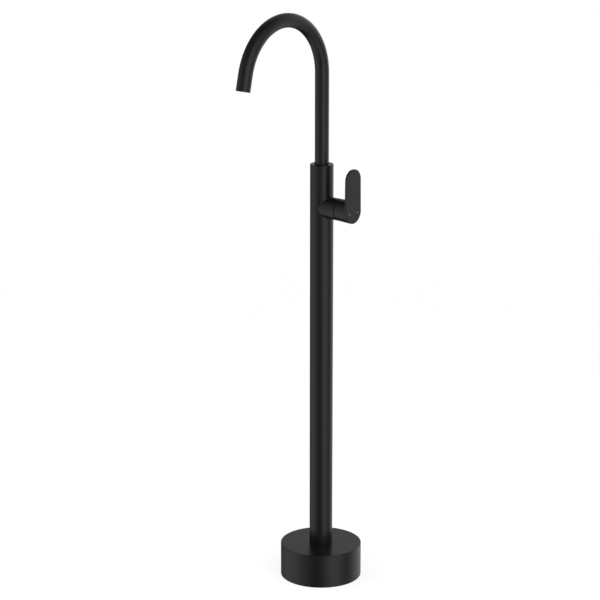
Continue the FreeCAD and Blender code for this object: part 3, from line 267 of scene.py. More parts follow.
def with_ports(u, v, ports, rings=6):
    """Grid over the lines u and v in which blocks make room for round ports.

    A port is (first u, last u, first v, last v, rim) with line numbers; rim(angle) gives
    its edge as (u, v). Ring k lies k / rings of the way from the block's outline to that
    edge. Returns the (u, v) points, the faces, and each port's edge as point numbers.
    """
    points = np.stack(np.meshgrid(u, v), axis=-1).reshape(-1, 2)
    faces = grid_faces(len(v), len(u))
    row, column = np.divmod(faces[:, 0], len(u))
    kept = np.ones(len(faces), bool)
    patches, extra, edges = [], [], []
    first = len(points)
    for u0, u1, v0, v1, rim in ports:
        kept &= (row < v0) | (row >= v1) | (column < u0) | (column >= u1)
        around = np.concatenate([
            v0 * len(u) + np.arange(u0, u1),
            np.arange(v0, v1) * len(u) + u1,
            v1 * len(u) + np.arange(u1, u0, -1),
            np.arange(v1, v0, -1) * len(u) + u0,
        ])
        middle = np.array([(u[u0] + u[u1]) / 2, (v[v0] + v[v1]) / 2])
        half = np.array([(u[u1] - u[u0]) / 2, (v[v1] - v[v0]) / 2])
        outline = points[around]
        offset = (outline - middle) / half
        edge = rim(np.arctan2(offset[:, 1], offset[:, 0]))
        blend = np.linspace(0, 1, rings + 1)[1:, None, None]
        inner = outline * (1 - blend) + edge * blend
        count = len(around)
        numbers = first + np.arange(rings * count)
        ladder = np.concatenate([around, numbers])
        patches.append(ladder[grid_faces(rings + 1, count, close_columns=True)])
        extra.append(inner.reshape(-1, 2))
        edges.append(numbers[-count:])
        first += rings * count
    return np.concatenate([points, *extra]), np.concatenate([faces[kept], *patches]), edges


def joined(parts):
    """Several (points, faces) parts as one."""
    points, faces, first = [], [], 0
    for part_points, part_faces in parts:
        flat = part_points.reshape(-1, 3)
        points.append(flat)
        faces.append(part_faces + first)
        first += len(flat)
    return np.concatenate(points), np.concatenate(faces)


WELD = 0.002 * MM
SHARP = math.radians(28)


def piece(name, parts, body, slot, stands_for):
    """Put parts into a mesh, close its seams and poles, and let it ride on its body."""
    points, faces = joined(parts)
    mesh = bpy.data.meshes.new(name)
    mesh.vertices.add(len(points))
    mesh.vertices.foreach_set("co", points.astype(np.float32).ravel())
    mesh.loops.add(faces.size)
    mesh.loops.foreach_set("vertex_index", faces.astype(np.int32).ravel())
    mesh.polygons.add(len(faces))
    mesh.polygons.foreach_set("loop_start", np.arange(0, faces.size, 4, dtype=np.int32))
    mesh.update(calc_edges=True)
    welded = bmesh.new()
    welded.from_mesh(mesh)
    bmesh.ops.remove_doubles(welded, verts=welded.verts, dist=WELD)
    bmesh.ops.dissolve_degenerate(welded, edges=welded.edges, dist=WELD)
    bmesh.ops.recalc_face_normals(welded, faces=welded.faces)
    welded.to_mesh(mesh)
    welded.free()
    mesh.validate()
    mesh.shade_smooth()
    mesh.set_sharp_from_angle(angle=SHARP)
    mesh.materials.append(finish_of(slot))
    made = bpy.data.objects.new(name, mesh)
    bpy.context.scene.collection.objects.link(made)
    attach(made, body)
    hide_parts(*stands_for)


# Finishes


FINISH_PREFIX = "filler_"
WHITE = (1, 1, 1, 1)


class Signal:
    """An output socket: arithmetic on one that carries a number adds Math nodes."""

    def __init__(self, nodes, socket):
        self.nodes = nodes
        self.socket = socket

    def math(self, operation, other):
        return self.nodes.node("ShaderNodeMath", {"operation": operation}, {0: self, 1: other})

    def __add__(self, other):
        return self.math("ADD", other)

    __radd__ = __add__

    def __mul__(self, other):
        return self.math("MULTIPLY", other)

    __rmul__ = __mul__


class Nodes:
    """The node tree of a material or of the world."""

    def __init__(self, tree):
        self.tree = tree

    def node(self, kind, settings, inputs, output=0):
        """Add a node, first its settings and then its sockets; returns one output."""
        made = self.tree.nodes.new(kind)
        stops = settings.pop("stops", ())
        for number, (position, level) in enumerate(stops):
            made.color_ramp.elements[number].position = position
            made.color_ramp.elements[number].color = (level, level, level, 1)
        for key, setting in settings.items():
            setattr(made, key, setting)
        for key, value in inputs.items():
            self.feed(made.inputs[key], value)
        return Signal(self, made.outputs[output])

    def feed(self, socket, value):
        """Link a signal to a socket, or set the socket's own value."""
        if isinstance(value, Signal):
            self.tree.links.new(value.socket, socket)
        else:
            socket.default_value = value

    def output(self, name, signal):
        """Link a signal to the tree's output node."""
        self.feed(self.tree.nodes[name].inputs["Surface"], signal)


class Finish(Nodes):
    """A material under construction: one Principled shader and the nodes that feed it."""

    def __init__(self, name):
        self.material = bpy.data.materials.new(FINISH_PREFIX + name)
        self.material.use_nodes = True
        super().__init__(self.material.node_tree)
        self.shader = self.tree.nodes["Principled BSDF"]
        self.place = self.node("ShaderNodeTexCoord", {}, {}, "Object")

    def shade(self, **inputs):
        """Set the shader's sockets by name, with _ for a space."""
        for key, value in inputs.items():
            self.feed(self.shader.inputs[key.replace("_", " ")], value)
        return self.material

    def noise(self, size, detail=2.0, distortion=0.0, stretch=(1, 1, 1)):
        """Soft noise, about 0.5 on average, whose spots are about this size."""
        at = self.node("ShaderNodeMapping", {}, {"Vector": self.place, "Scale": stretch})
        return self.node(
            "ShaderNodeTexNoise", {},
            {"Vector": at, "Scale": 1 / size, "Detail": detail, "Distortion": distortion},
        )

    def ramp(self, signal, low, high):
        """Spread a signal between two stops, each a (position, level)."""
        return self.node("ShaderNodeValToRGB", {"stops": (low, high)}, {"Fac": signal})

    def blend(self, factor, low, high):
        """Mix two colours."""
        return self.node(
            "ShaderNodeMix", {"data_type": "RGBA"},
            {"Factor": factor, 6: (*low, 1), 7: (*high, 1)}, 2,
        )

    def bump(self, height, distance):
        """A normal from a height."""
        return self.node("ShaderNodeBump", {}, {"Height": height, "Distance": distance})


def lighter(colour, factor):
    """A colour times a factor, kept within 0 to 1."""
    return tuple(min(1.0, level * factor) for level in colour)


def powder_coat(look):
    """Satin black powder coat: faint orange peel, and gloss that drifts a little."""
    finish = Finish("black_coat")
    peel = finish.noise(look.coat_grain, detail=1.5)
    speck = finish.noise(look.coat_grain * 0.22, detail=1.0)
    drift = finish.noise(60 * MM, detail=3.0, distortion=0.4)
    colour = finish.blend(drift, lighter(look.coat, 0.9), lighter(look.coat, 1.15))
    roughness = look.coat_roughness - 0.04 + 0.05 * drift + 0.03 * speck
    height = peel * 0.8 + speck * 0.2
    return finish.shade(
        Base_Color=colour, Roughness=roughness, IOR=1.45,
        Normal=finish.bump(height, 0.008 * MM),
    )


def zinc_plate(look):
    """Zinc plated steel: fine crystals, each with its own shade and gloss."""
    finish = Finish("zinc_steel")
    crystals = finish.node(
        "ShaderNodeTexVoronoi", {"feature": "F1"},
        {"Vector": finish.place, "Scale": 1 / (3 * MM)}, "Color",
    )
    shade = finish.node("ShaderNodeSeparateColor", {}, {"Color": crystals}, "Red")
    cloud = finish.noise(18 * MM, detail=4.0)
    mixed = shade * 0.6 + cloud * 0.4
    colour = finish.blend(mixed, lighter(look.zinc, 0.85), lighter(look.zinc, 1.1))
    return finish.shade(
        Base_Color=colour, Metallic=1.0, Roughness=0.34 + 0.16 * mixed,
        Normal=finish.bump(shade, 0.01 * MM),
    )


def turned_metal(name, colour, roughness, tarnish, stretch=(1, 1, 9)):
    """Machined metal: fine tool lines around the axis and a breath of tarnish."""
    finish = Finish(name)
    lines = finish.noise(2.4 * MM, detail=5.0, stretch=stretch)
    patches = finish.noise(14 * MM, detail=4.0, distortion=0.6)
    spots = finish.ramp(patches, (0.42, 0.0), (0.72, 1.0))
    shade = finish.blend(spots, colour, lighter(colour, tarnish))
    return finish.shade(
        Base_Color=shade, Metallic=1.0, Roughness=roughness + 0.1 * lines + 0.12 * spots,
        Normal=finish.bump(lines, 0.012 * MM),
    )


def moulded(name, colour, roughness, grain, depth):
    """Moulded plastic or rubber: a fine spark eroded grain."""
    finish = Finish(name)
    skin = finish.noise(grain, detail=3.0)
    cloud = finish.noise(25 * MM, detail=2.0)
    shade = finish.blend(cloud, lighter(colour, 0.92), lighter(colour, 1.08))
    return finish.shade(
        Base_Color=shade, Roughness=roughness - 0.05 + 0.1 * skin, IOR=1.48,
        Normal=finish.bump(skin, depth),
    )


def lapped_ceramic(look):
    """Lapped alumina: pale, glossy, with the faintest clouding."""
    finish = Finish("ceramic")
    cloud = finish.noise(5 * MM, detail=5.0)
    shade = finish.blend(cloud, lighter(look.ceramic, 0.95), lighter(look.ceramic, 1.04))
    return finish.shade(Base_Color=shade, Roughness=0.12 + 0.06 * cloud, IOR=1.76)


def make_finishes(look):
    """Every finish of the record's slots."""
    powder_coat(look)
    zinc_plate(look)
    turned_metal("steel", look.steel, 0.26, 0.9)
    turned_metal("brass", look.brass, 0.24, 0.72)
    turned_metal("copper", look.copper, 0.28, 0.6, stretch=(6, 6, 0.6))
    moulded("rubber", look.rubber, 0.62, 0.5 * MM, 0.02 * MM)
    lapped_ceramic(look)
    moulded("white_plastic", look.white_plastic, 0.42, 0.4 * MM, 0.01 * MM)
    moulded("black_plastic", look.black_plastic, 0.5, 0.4 * MM, 0.012 * MM)
    turned_metal("dark_metal", look.dark_metal, 0.3, 0.8)
    moulded("grey_plastic", look.grey_plastic, 0.48, 0.4 * MM, 0.01 * MM)
    moulded("index_grey", look.index_grey, 0.3, 0.6 * MM, 0.004 * MM)


def finish_of(slot):
    """The finish for a slot; all of them are made at the first call."""
    if FINISH_PREFIX + slot not in bpy.data.materials:
        make_finishes(bpy.context.scene.filler_finish)
    return bpy.data.materials[FINISH_PREFIX + slot]


# Pieces


def on_cylinder(radius, points):
    """Wrap (angle, height) points round the column's axis."""
    angle, height = points[:, 0], points[:, 1]
    return np.stack([radius * np.cos(angle), radius * np.sin(angle), height], axis=-1)


def port_rim(port_radius, wall_radius, middle, height):
    """Edge of a round port in a wall round the column's axis, as (angle, height).

    It lies where a cylinder across the column meets the wall, so at the angle
    asin(distance from the port's axis / wall radius) from that axis.
    """
    def rim(turn):
        across = np.arcsin(port_radius * np.cos(turn) / wall_radius)
        return np.stack([middle + across, height + port_radius * np.sin(turn)], axis=-1)
    return rim


class FILLER_OT_base(bpy.types.Operator):
    """Draw the cover over the foot"""

    bl_idname = "filler.base"
    bl_label = "Base cover"

    def execute(self, context):
        """One closed profile turned about the column's axis."""
        sizes = context.scene.filler_sizes
        outer, top, bottom = BASE[1].x, BASE[1].z, BASE[0].z
        hole = COLUMN[1].x + sizes.cover_gap
        inner, under = outer - sizes.base_wall, top - sizes.base_wall
        profile = rounded([
            (hole, under, 0), (hole, top, sizes.fine_edge), (outer, top, sizes.base_edge),
            (outer, bottom, sizes.fine_edge), (inner, bottom, 0), (inner, under, 0),
        ])
        shape = turned(profile, full_turn(RING_STEPS))
        faces = grid_faces(*shape.shape[:2], close_rows=True, close_columns=True)
        piece("base", [(shape, faces)], "cover", "black_coat", ["base_cover"])
        return {"FINISHED"}


class FILLER_OT_column(bpy.types.Operator):
    """Draw the column with its barrel port and screw hole"""

    bl_idname = "filler.column"
    bl_label = "Column"

    def execute(self, context):
        """A grid over angle and height, outside and inside, with two round ports."""
        sizes = context.scene.filler_sizes
        outer, top, bottom = COLUMN[1].x, COLUMN[1].z, COLUMN[0].z
        inner, under = outer - sizes.column_wall, top - sizes.top_plate
        angles = np.linspace(-math.pi, math.pi, RING_STEPS + 1)
        front, back = RING_STEPS // 2, RING_STEPS * 3 // 4
        bore = BARREL[1].y - sizes.barrel_wall
        screw_z = (SCREW[0].z + SCREW[1].z) / 2
        shoulder = top - sizes.column_edge - MM
        around_bore, around_screw = 24 * MM, 2 * sizes.screw_hole
        bore_columns, screw_columns = 40, 8    # half of each port's block, in grid columns
        heights, rows = stretches((
            bottom, AXIS_Z - around_bore, AXIS_Z + around_bore, screw_z - around_screw,
            screw_z + around_screw, shoulder,
        ), (23, 16, 5, 6, 3))

        def wall(radius):
            """One wall with its ports; returns points, faces and the ports' edges."""
            barrel = (front - bore_columns, front + bore_columns, rows[1], rows[2],
                      port_rim(bore, radius, 0, AXIS_Z))
            screw = (back - screw_columns, back + screw_columns, rows[3], rows[4],
                     port_rim(sizes.screw_hole, radius, math.pi / 2, screw_z))
            flat, faces, edges = with_ports(angles, heights, [barrel, screw])
            points = on_cylinder(radius, flat)
            return points, faces, [points[edge] for edge in edges]

        outside, outside_faces, outer_edges = wall(outer)
        inside, inside_faces, inner_edges = wall(inner)
        cap = rounded([
            (outer, shoulder, 0), (outer, top, sizes.column_edge),
            (BUSH[1].x + sizes.opening_gap, top, sizes.fine_edge),
            (BUSH[1].x + sizes.opening_gap, under, 0), (inner, under, 0), (inner, shoulder, 0),
        ], closed=False)
        cap = turned(cap, angles)
        foot = turned(np.array([(outer, bottom), (inner, bottom)]), angles)
        parts = [(outside, outside_faces), (inside, inside_faces)]
        parts += [(shape, grid_faces(*shape.shape[:2])) for shape in (cap, foot)]
        for edge_out, edge_in in zip(outer_edges, inner_edges):
            strip = np.stack([edge_out, edge_in])
            parts.append((strip, grid_faces(*strip.shape[:2], close_columns=True)))
        piece("column", parts, "stand", "black_coat", ["column_tube"])
        return {"FINISHED"}


class FILLER_OT_barrel(bpy.types.Operator):
    """Draw the valve barrel on the column's side"""

    bl_idname = "filler.barrel"
    bl_label = "Valve barrel"

    def execute(self, context):
        """A tube about the valve's axis whose foot is cut to the column's round.

        The foot at distance r from the valve's axis and angle a from +Y lies at
        x = sqrt(column radius^2 - (r cos a)^2). There the skins turn by
        t = acos(barrel radius / column radius * cos^2 a), and the braze is a quadratic
        curve over the corner that starts and ends braze * tan(t / 2) from it.
        """
        sizes = context.scene.filler_sizes
        column, outer, end = COLUMN[1].x, BARREL[1].y, BARREL[1].x
        bore, edge = outer - sizes.barrel_wall, sizes.fine_edge
        angles = full_turn(RING_STEPS)

        def foot(radius):
            return np.sqrt(column**2 - (radius * np.cos(angles)) ** 2)

        corner = foot(outer)
        turn = np.arccos(outer / column * np.cos(angles) ** 2)
        reach = sizes.braze * np.tan(turn / 2)
        spread = outer + reach * np.sin(turn)
        share_down = np.linspace(0, 1, 2 * ARC_STEPS + 1)[:, None]
        low, mid, high = (1 - share_down) ** 2, 2 * share_down * (1 - share_down), share_down**2
        braze_x = low * foot(spread) + mid * corner + high * (corner + reach)
        braze_r = low * spread + (mid + high) * outer
        side = np.linspace(0, 1, 10)[1:-1, None]
        side_x = (corner + reach) * (1 - side) + (end - 2 * edge) * side
        rim = rounded([(outer, end - 2 * edge, 0), (outer, end, edge), (bore, end, 0)], False)
        depth = np.linspace(0, 1, 8)[1:, None]
        bore_x = end * (1 - depth) + foot(bore) * depth
        along = np.concatenate([
            braze_x, side_x, np.repeat(rim[:, 1:], RING_STEPS, axis=1), bore_x,
        ])
        radius = np.concatenate([
            braze_r, np.full(side_x.shape, outer),
            np.repeat(rim[:, :1], RING_STEPS, axis=1), np.full(bore_x.shape, bore),
        ])
        shape = around_valve(along, radius, angles)
        faces = grid_faces(*along.shape, close_rows=True, close_columns=True)
        piece("barrel", [(shape, faces)], "stand", "black_coat", ["valve_barrel"])
        return {"FINISHED"}


def around_valve(along, radius, angles):
    """Points about the valve's axis: x, distance from the axis, angle from +Y to +Z."""
    across, up = radius * np.cos(angles), radius * np.sin(angles)
    return np.stack([np.broadcast_to(along, across.shape), across, AXIS_Z + up], axis=-1)


class LeverOutline:
    """The blade's outline about the valve's axis, from the hub circle to the tip.

    Half of it, from the tip down: an arc about the tip's centre, a shoulder arc that
    touches it, a straight side that touches the shoulder arc and the hub circle, and the
    hub circle itself. Along a ray with direction d, an arc of radius a about c lies at
    c.d + sqrt(a^2 - c.c + (c.d)^2), and the side at hub radius / (n.d), n its normal.
    """

    def __init__(self, sizes):
        self.hub = LEVER[1].y
        shoulder = np.array([sizes.shoulder_half, sizes.shoulder_rise])
        lean = math.atan2(shoulder[1], shoulder[0]) - math.acos(
            self.hub / np.linalg.norm(shoulder))
        self.normal = np.array([math.cos(lean), math.sin(lean)])
        self.tip_radius = sizes.tip_radius
        self.tip = np.array([0, sizes.tip_rise - self.tip_radius])
        apart = shoulder - self.tip
        self.bend = (apart @ apart - self.tip_radius**2) / (
            2 * (self.normal @ apart - self.tip_radius))
        self.middle = shoulder - self.bend * self.normal
        touch = (self.tip - self.middle) * np.sign(self.bend - self.tip_radius)
        touch = self.tip + touch / np.linalg.norm(touch) * self.tip_radius
        self.stops = [
            math.atan2(touch[1], touch[0]), math.atan2(shoulder[1], shoulder[0]), lean,
        ]

    def angles(self):
        """Angles from the tip once round to the tip, close where the outline bends."""
        half, _ = stretches([math.pi / 2, *self.stops, -math.pi / 2], (4, 24, 32, 48))
        return np.concatenate([half, -math.pi - half[-2::-1]])

    def points(self, angles):
        """Outline points and outward normals, each as (across, up)."""
        ray = np.stack([np.cos(angles), np.sin(angles)], axis=-1)
        side = np.where(ray[:, :1] < 0, -1.0, 1.0)
        ray = ray * np.concatenate([side, np.ones_like(side)], axis=1)
        height = np.arctan2(ray[:, 1], ray[:, 0])

        def arc(centre, radius):
            reach = ray @ centre
            return reach + np.sqrt(np.maximum(radius**2 - centre @ centre + reach**2, 0))

        touch, shoulder, foot = self.stops
        tip, bend = arc(self.tip, self.tip_radius), arc(self.middle, self.bend)
        straight = self.hub / np.maximum(ray @ self.normal, 0.01)
        zones = [height > touch, height > shoulder, height > foot]
        reach = np.select(zones, [tip, bend, straight], self.hub)[:, None]
        points = ray * reach
        normals = np.select(
            [zone[:, None] for zone in zones],
            [(points - self.tip) / self.tip_radius, (points - self.middle) / self.bend,
             np.broadcast_to(self.normal, points.shape)],
            points / self.hub,
        )
        mirror = np.concatenate([side, np.ones_like(side)], axis=1)
        return points * mirror, normals * mirror


class FILLER_OT_lever(bpy.types.Operator):
    """Draw the lever with its hub and blade"""

    bl_idname = "filler.lever"
    bl_label = "Lever"

    def execute(self, context):
        """Surfaces about the valve's axis, all on the angles of the blade's outline.

        The hub is a cone from the skirt at the seam to the hub circle at the blade's back.
        """
        sizes = context.scene.filler_sizes
        outline = LeverOutline(sizes)
        angles = outline.angles()
        skirt, start = BARREL[1].y, sizes.seam_x + 3 * sizes.fine_edge
        back = LEVER[1].x - sizes.blade
        flare = back - sizes.hub_fillet

        def cone(x):
            return skirt + (outline.hub - skirt) * (x - start) / (back - start)

        parts = [
            self.socket(sizes, angles, skirt),
            *self.hub(sizes, angles, cone, start, flare),
            self.blade(sizes, angles, outline, cone, flare, back),
        ]
        piece("lever", parts, "lever", "black_coat", ["lever_handle"])
        return {"FINISHED"}

    def socket(self, sizes, angles, skirt):
        """The stem's bore, the socket over the dome, and the skirt's rim at the seam.

        The socket is part of a sphere about the tilt axis that ends in the skirt's lip.
        """
        seam, edge = sizes.seam_x, sizes.fine_edge
        pivot = seam - sizes.pivot_setback
        lip = skirt - sizes.skirt_rim
        ball = math.hypot(sizes.pivot_setback, lip)
        bore, stem_end = sizes.stem_bore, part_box("lever_stem")[1].x
        turn = np.linspace(math.asin(bore / ball), math.asin(lip / ball), 16)
        hollow = np.stack([ball * np.sin(turn), pivot + ball * np.cos(turn)], axis=-1)
        rim = rounded([(lip, seam, 0), (skirt, seam, edge), (skirt, seam + 3 * edge, 0)], False)
        profile = np.concatenate([[(0, stem_end), (bore, stem_end)], hollow, rim[1:]])
        shape = around_valve(profile[:, 1:], profile[:, :1], angles)
        return shape, grid_faces(*shape.shape[:2])

    def hub(self, sizes, angles, cone, start, flare):
        """The hub's cone up to the flare, and the well of the set screw's hole below.

        The hole's edge lies at the angle asin(distance from the hole's axis / cone
        radius) from straight down.
        """
        hole_x = (PLUG[0].x + PLUG[1].x) / 2
        room = sizes.plug_hole + 0.45 * MM
        lines, rows = stretches((start, hole_x - room, hole_x + room, flare), (9, 8, 1))

        def rim(turn):
            x = hole_x + sizes.plug_hole * np.sin(turn)
            across = np.arcsin(sizes.plug_hole * np.cos(turn) / cone(x))
            return np.stack([-math.pi / 2 - across, x], axis=-1)

        bottom, hole_columns = len(angles) // 2, 6    # half of the hole's block
        hole = (bottom - hole_columns, bottom + hole_columns, rows[1], rows[2], rim)
        flat, faces, edges = with_ports(angles, lines, [hole])
        points = around_valve(flat[:, 1], cone(flat[:, 1]), flat[:, 0])
        mouth = points[edges[0]]
        floor = mouth.copy()
        floor[:, 2] = AXIS_Z - sizes.stem_bore - sizes.fine_edge
        middle = np.broadcast_to(floor.mean(axis=0), floor.shape)
        well = np.stack([mouth, floor, middle])
        return (points, faces), (well, grid_faces(*well.shape[:2], close_columns=True))

    def blade(self, sizes, angles, outline, cone, flare, back):
        """The flare and the blade, as rings that end in the middle of the face.

        The concave flare rises from the cone by rise * (1 - cos t), full where the outline
        lies well outside the hub circle and none where it lies on it, and it stops where
        it would pass the outline. The blade's rims are quarter rounds along the outline's
        normal, and the face is the outline drawn in to the axis.
        """
        face, face_edge = LEVER[1].x, sizes.face_edge
        rim_points, normals = outline.points(angles)
        reach = np.linalg.norm(rim_points, axis=1)
        room = np.maximum(reach - outline.hub, 0)
        full = np.clip(room / sizes.hub_fade, 0, 1)
        rise = sizes.hub_fillet * full**2 * (3 - 2 * full)
        cut = rise > room
        last = np.full(reach.shape, math.pi / 2)
        last[cut] = np.arccos(1 - room[cut] / rise[cut])
        turn = np.linspace(0, 1, 13)[:, None] * last
        flare_x = flare + sizes.hub_fillet * np.sin(turn)
        flare_radius = cone(flare_x) + rise * (1 - np.cos(turn))
        flare_points = flare_radius[:, :, None] * rim_points / reach[:, None]

        def inset(amounts):
            return rim_points - amounts[:, :, None] * normals

        def level(x):
            return np.repeat(np.reshape(x, (-1, 1)), len(angles), axis=1)

        quarter = np.linspace(0, math.pi / 2, 7)[:, None]
        back_round = np.clip((reach - flare_radius[-1]) / 2, 0, sizes.back_edge)
        back_points = inset(back_round * (1 - np.sin(quarter)))
        back_x = back + back_round * (1 - np.cos(quarter))
        share_out = np.array([0.02, 0.2, 0.4, 0.6, 0.8, 0.96, 0.99])[:, None]
        across = back_points[0] - flare_points[-1]
        plane_points = flare_points[-1] + share_out[:, :, None] * across
        plane_x = flare_x[-1] + share_out * (back_x[0] - flare_x[-1])
        support = 1.6    # how many radii from a rounded edge its support ring lies
        wall_x = level([back + support * sizes.back_edge, face - support * face_edge])
        front_points = inset(level(face_edge * (1 - np.cos(quarter))))
        front_x = level(face - face_edge * (1 - np.sin(quarter)))
        share_in = np.array([1, 0.96, 0.85, 0.7, 0.5, 0.3, 0.15, 0.05, 0])[:, None, None]
        face_points = inset(level(support * face_edge)) * share_in
        rows = np.concatenate([
            flare_points, plane_points, back_points, inset(wall_x * 0), front_points,
            face_points,
        ])
        rows_x = np.concatenate([
            flare_x, plane_x, back_x, wall_x, front_x, np.full(face_points.shape[:2], face),
        ])
        shape = np.concatenate([rows_x[:, :, None], rows + np.array([0, AXIS_Z])], axis=-1)
        return shape, grid_faces(*shape.shape[:2])


class FILLER_OT_spout(bpy.types.Operator):
    """Draw the spout's bent tube"""

    bl_idname = "filler.spout"
    bl_label = "Spout"

    def execute(self, context):
        """Rings carried along the tube's line: straight, one bend, and a straight tail.

        On the bend, at the angle t, the line lies at y = R cos t - R and
        z = start + R sin t, and a ring stands square to it.
        """
        sizes = context.scene.filler_sizes
        bend, tail = sizes.bend_radius, sizes.spout_tail
        bottom, outer = SPOUT[0].z, SPOUT[1].x
        inner, edge = outer - sizes.spout_wall, sizes.spout_edge
        arc, bend_from = bend * sizes.bend_angle, sizes.spout_straight - bottom
        whole = bend_from + arc + tail
        lengths, _ = stretches((0, bend_from, bend_from + arc, whole - 2 * edge), (24, 120, 5))
        mouth = rounded([
            (outer, whole - 2 * edge, 0), (outer, whole, edge), (inner, whole, edge / 2),
            (inner, whole - 2 * edge, 0),
        ], False)
        outside = np.stack([np.full(lengths.shape, outer), lengths], axis=-1)
        inside = np.stack([np.full(lengths.shape, inner), lengths], axis=-1)[::-1]
        profile = np.concatenate([outside, mouth[1:-1], inside])
        angles = full_turn(SPOUT_STEPS)
        run = profile[:, 1]
        turn = np.clip((run - bend_from) / bend, 0, sizes.bend_angle)
        rise = np.clip(run, 0, bend_from)
        after = np.clip(run - bend_from - arc, 0, None)
        line_y = bend * (np.cos(turn) - 1) - after * np.sin(turn)
        line_z = bottom + rise + bend * np.sin(turn) + after * np.cos(turn)
        across = profile[:, :1] * np.cos(angles)
        out = profile[:, :1] * np.sin(angles)
        shape = np.stack([
            across,
            line_y[:, None] + out * np.cos(turn)[:, None],
            line_z[:, None] + out * np.sin(turn)[:, None],
        ], axis=-1)
        faces = grid_faces(*shape.shape[:2], close_rows=True, close_columns=True)
        piece("spout", [(shape, faces)], "spout", "black_coat", ["spout_tube"])
        return {"FINISHED"}


class FILLER_OT_dots(bpy.types.Operator):
    """Draw the two index dots on the lever's face"""

    bl_idname = "filler.dots"
    bl_label = "Index dots"

    def execute(self, context):
        """A small disc with a rounded edge, turned about its own axis."""
        sizes = context.scene.filler_sizes
        for node in ("hot_index_dot", "cold_index_dot"):
            low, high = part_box(node)
            radius = (high.y - low.y) / 2
            profile = rounded([
                (0, low.x, 0), (radius, low.x, 0), (radius, high.x, sizes.fine_edge / 2),
                (0, high.x, 0),
            ], False)
            centre = (0, (low.y + high.y) / 2, (low.z + high.z) / 2)
            shape = turned(profile, full_turn(DOT_STEPS), "x", centre)
            faces = grid_faces(*shape.shape[:2], close_columns=True)
            piece(node.replace("_index", ""), [(shape, faces)], "lever", "index_grey", [node])
        return {"FINISHED"}


class FILLER_OT_finishes(bpy.types.Operator):
    """Give every piece of the frame its finish"""

    bl_idname = "filler.finishes"
    bl_label = "Finishes"

    def execute(self, context):
        """The record names each node's material slot, and a slot has one finish."""
        for entry in frame["record"]["subparts"]:
            mesh = frame["nodes"][entry["node"]].data
            mesh.materials.clear()
            mesh.materials.append(finish_of(entry["material_slot"]))
        return {"FINISHED"}


# Stage


def stage_card(name, points, faces, material):
    """A surface of the stage; it isn't part of the object."""
    mesh = bpy.data.meshes.new(name)
    mesh.from_pydata(points.reshape(-1, 3), [], faces)
    mesh.shade_smooth()
    mesh.materials.append(material)
    card = bpy.data.objects.new(name, mesh)
    bpy.context.scene.collection.objects.link(card)
    return card


def floor_material(studio):
    """Pale floor: nearly white to the camera, with the object's soft shadow kept."""
    finish = Finish("floor")
    cloud = finish.noise(0.4, detail=2.0)
    colour = finish.blend(cloud, lighter(studio.floor, 0.99), lighter(studio.floor, 1.01))
    finish.shade(Base_Color=colour, Roughness=0.9)
    glow = finish.node("ShaderNodeEmission", {}, {"Color": WHITE, "Strength": 1.0})
    seen = finish.node("ShaderNodeLightPath", {}, {}, "Is Camera Ray")
    away = finish.node("ShaderNodeVectorMath", {"operation": "LENGTH"}, {0: finish.place}, "Value")
    far = finish.node(
        "ShaderNodeMapRange", {"interpolation_type": "SMOOTHSTEP"},
        {"Value": away, "From Min": 0.8, "From Max": 3.0, "To Min": studio.floor_white,
         "To Max": 1.0},
    )
    lit = Signal(finish, finish.shader.outputs[0])
    mixed = finish.node("ShaderNodeMixShader", {}, {0: seen * far, 1: lit, 2: glow})
    finish.output("Material Output", mixed)
    return finish.material


# What the satin finish mirrors: soft boxes, and flags that take light away. Azimuth in
# degrees from the camera towards its right, half width, height above the horizon in
# degrees, half height, and brightness.
PANELS = (
    (30, 37, 0, 49, 1.36),      # main soft box
    (-83, 42, -16, 51, 0.72),   # soft box on the left
    (125, 40, 3, 53, 0.84),     # soft box at the back on the right
    (170, 26, 1, 17, 0.97),     # low strip behind
    (6, 29, -26, 15, -0.71),    # flag below the camera
    (77, 12, -15, 27, -0.25),   # narrow flag on the right
    (-163, 33, -65, 31, -0.42), # flag on the floor at the back
    (-172, 24, 47, 14, 0.5),    # high strip behind
)
TENT_FLOOR = 0.45   # glow of the globe straight below
TENT_RADIUS = 30
AZIMUTH_STEPS = 240
HEIGHT_STEPS = 120
LAMP_SIZE = 2.0
LAMP_AIM = 0.5      # height that the lamps look at


def tent_material():
    """Cloth of the light tent; its glow is written on its points."""
    finish = Finish("tent")
    glow = finish.node("ShaderNodeAttribute", {"attribute_name": "glow"}, {}, "Color")
    return finish.shade(
        Base_Color=(0, 0, 0, 1), Roughness=1.0, Specular_IOR_Level=0.0,
        Emission_Color=glow, Emission_Strength=1.0,
    )


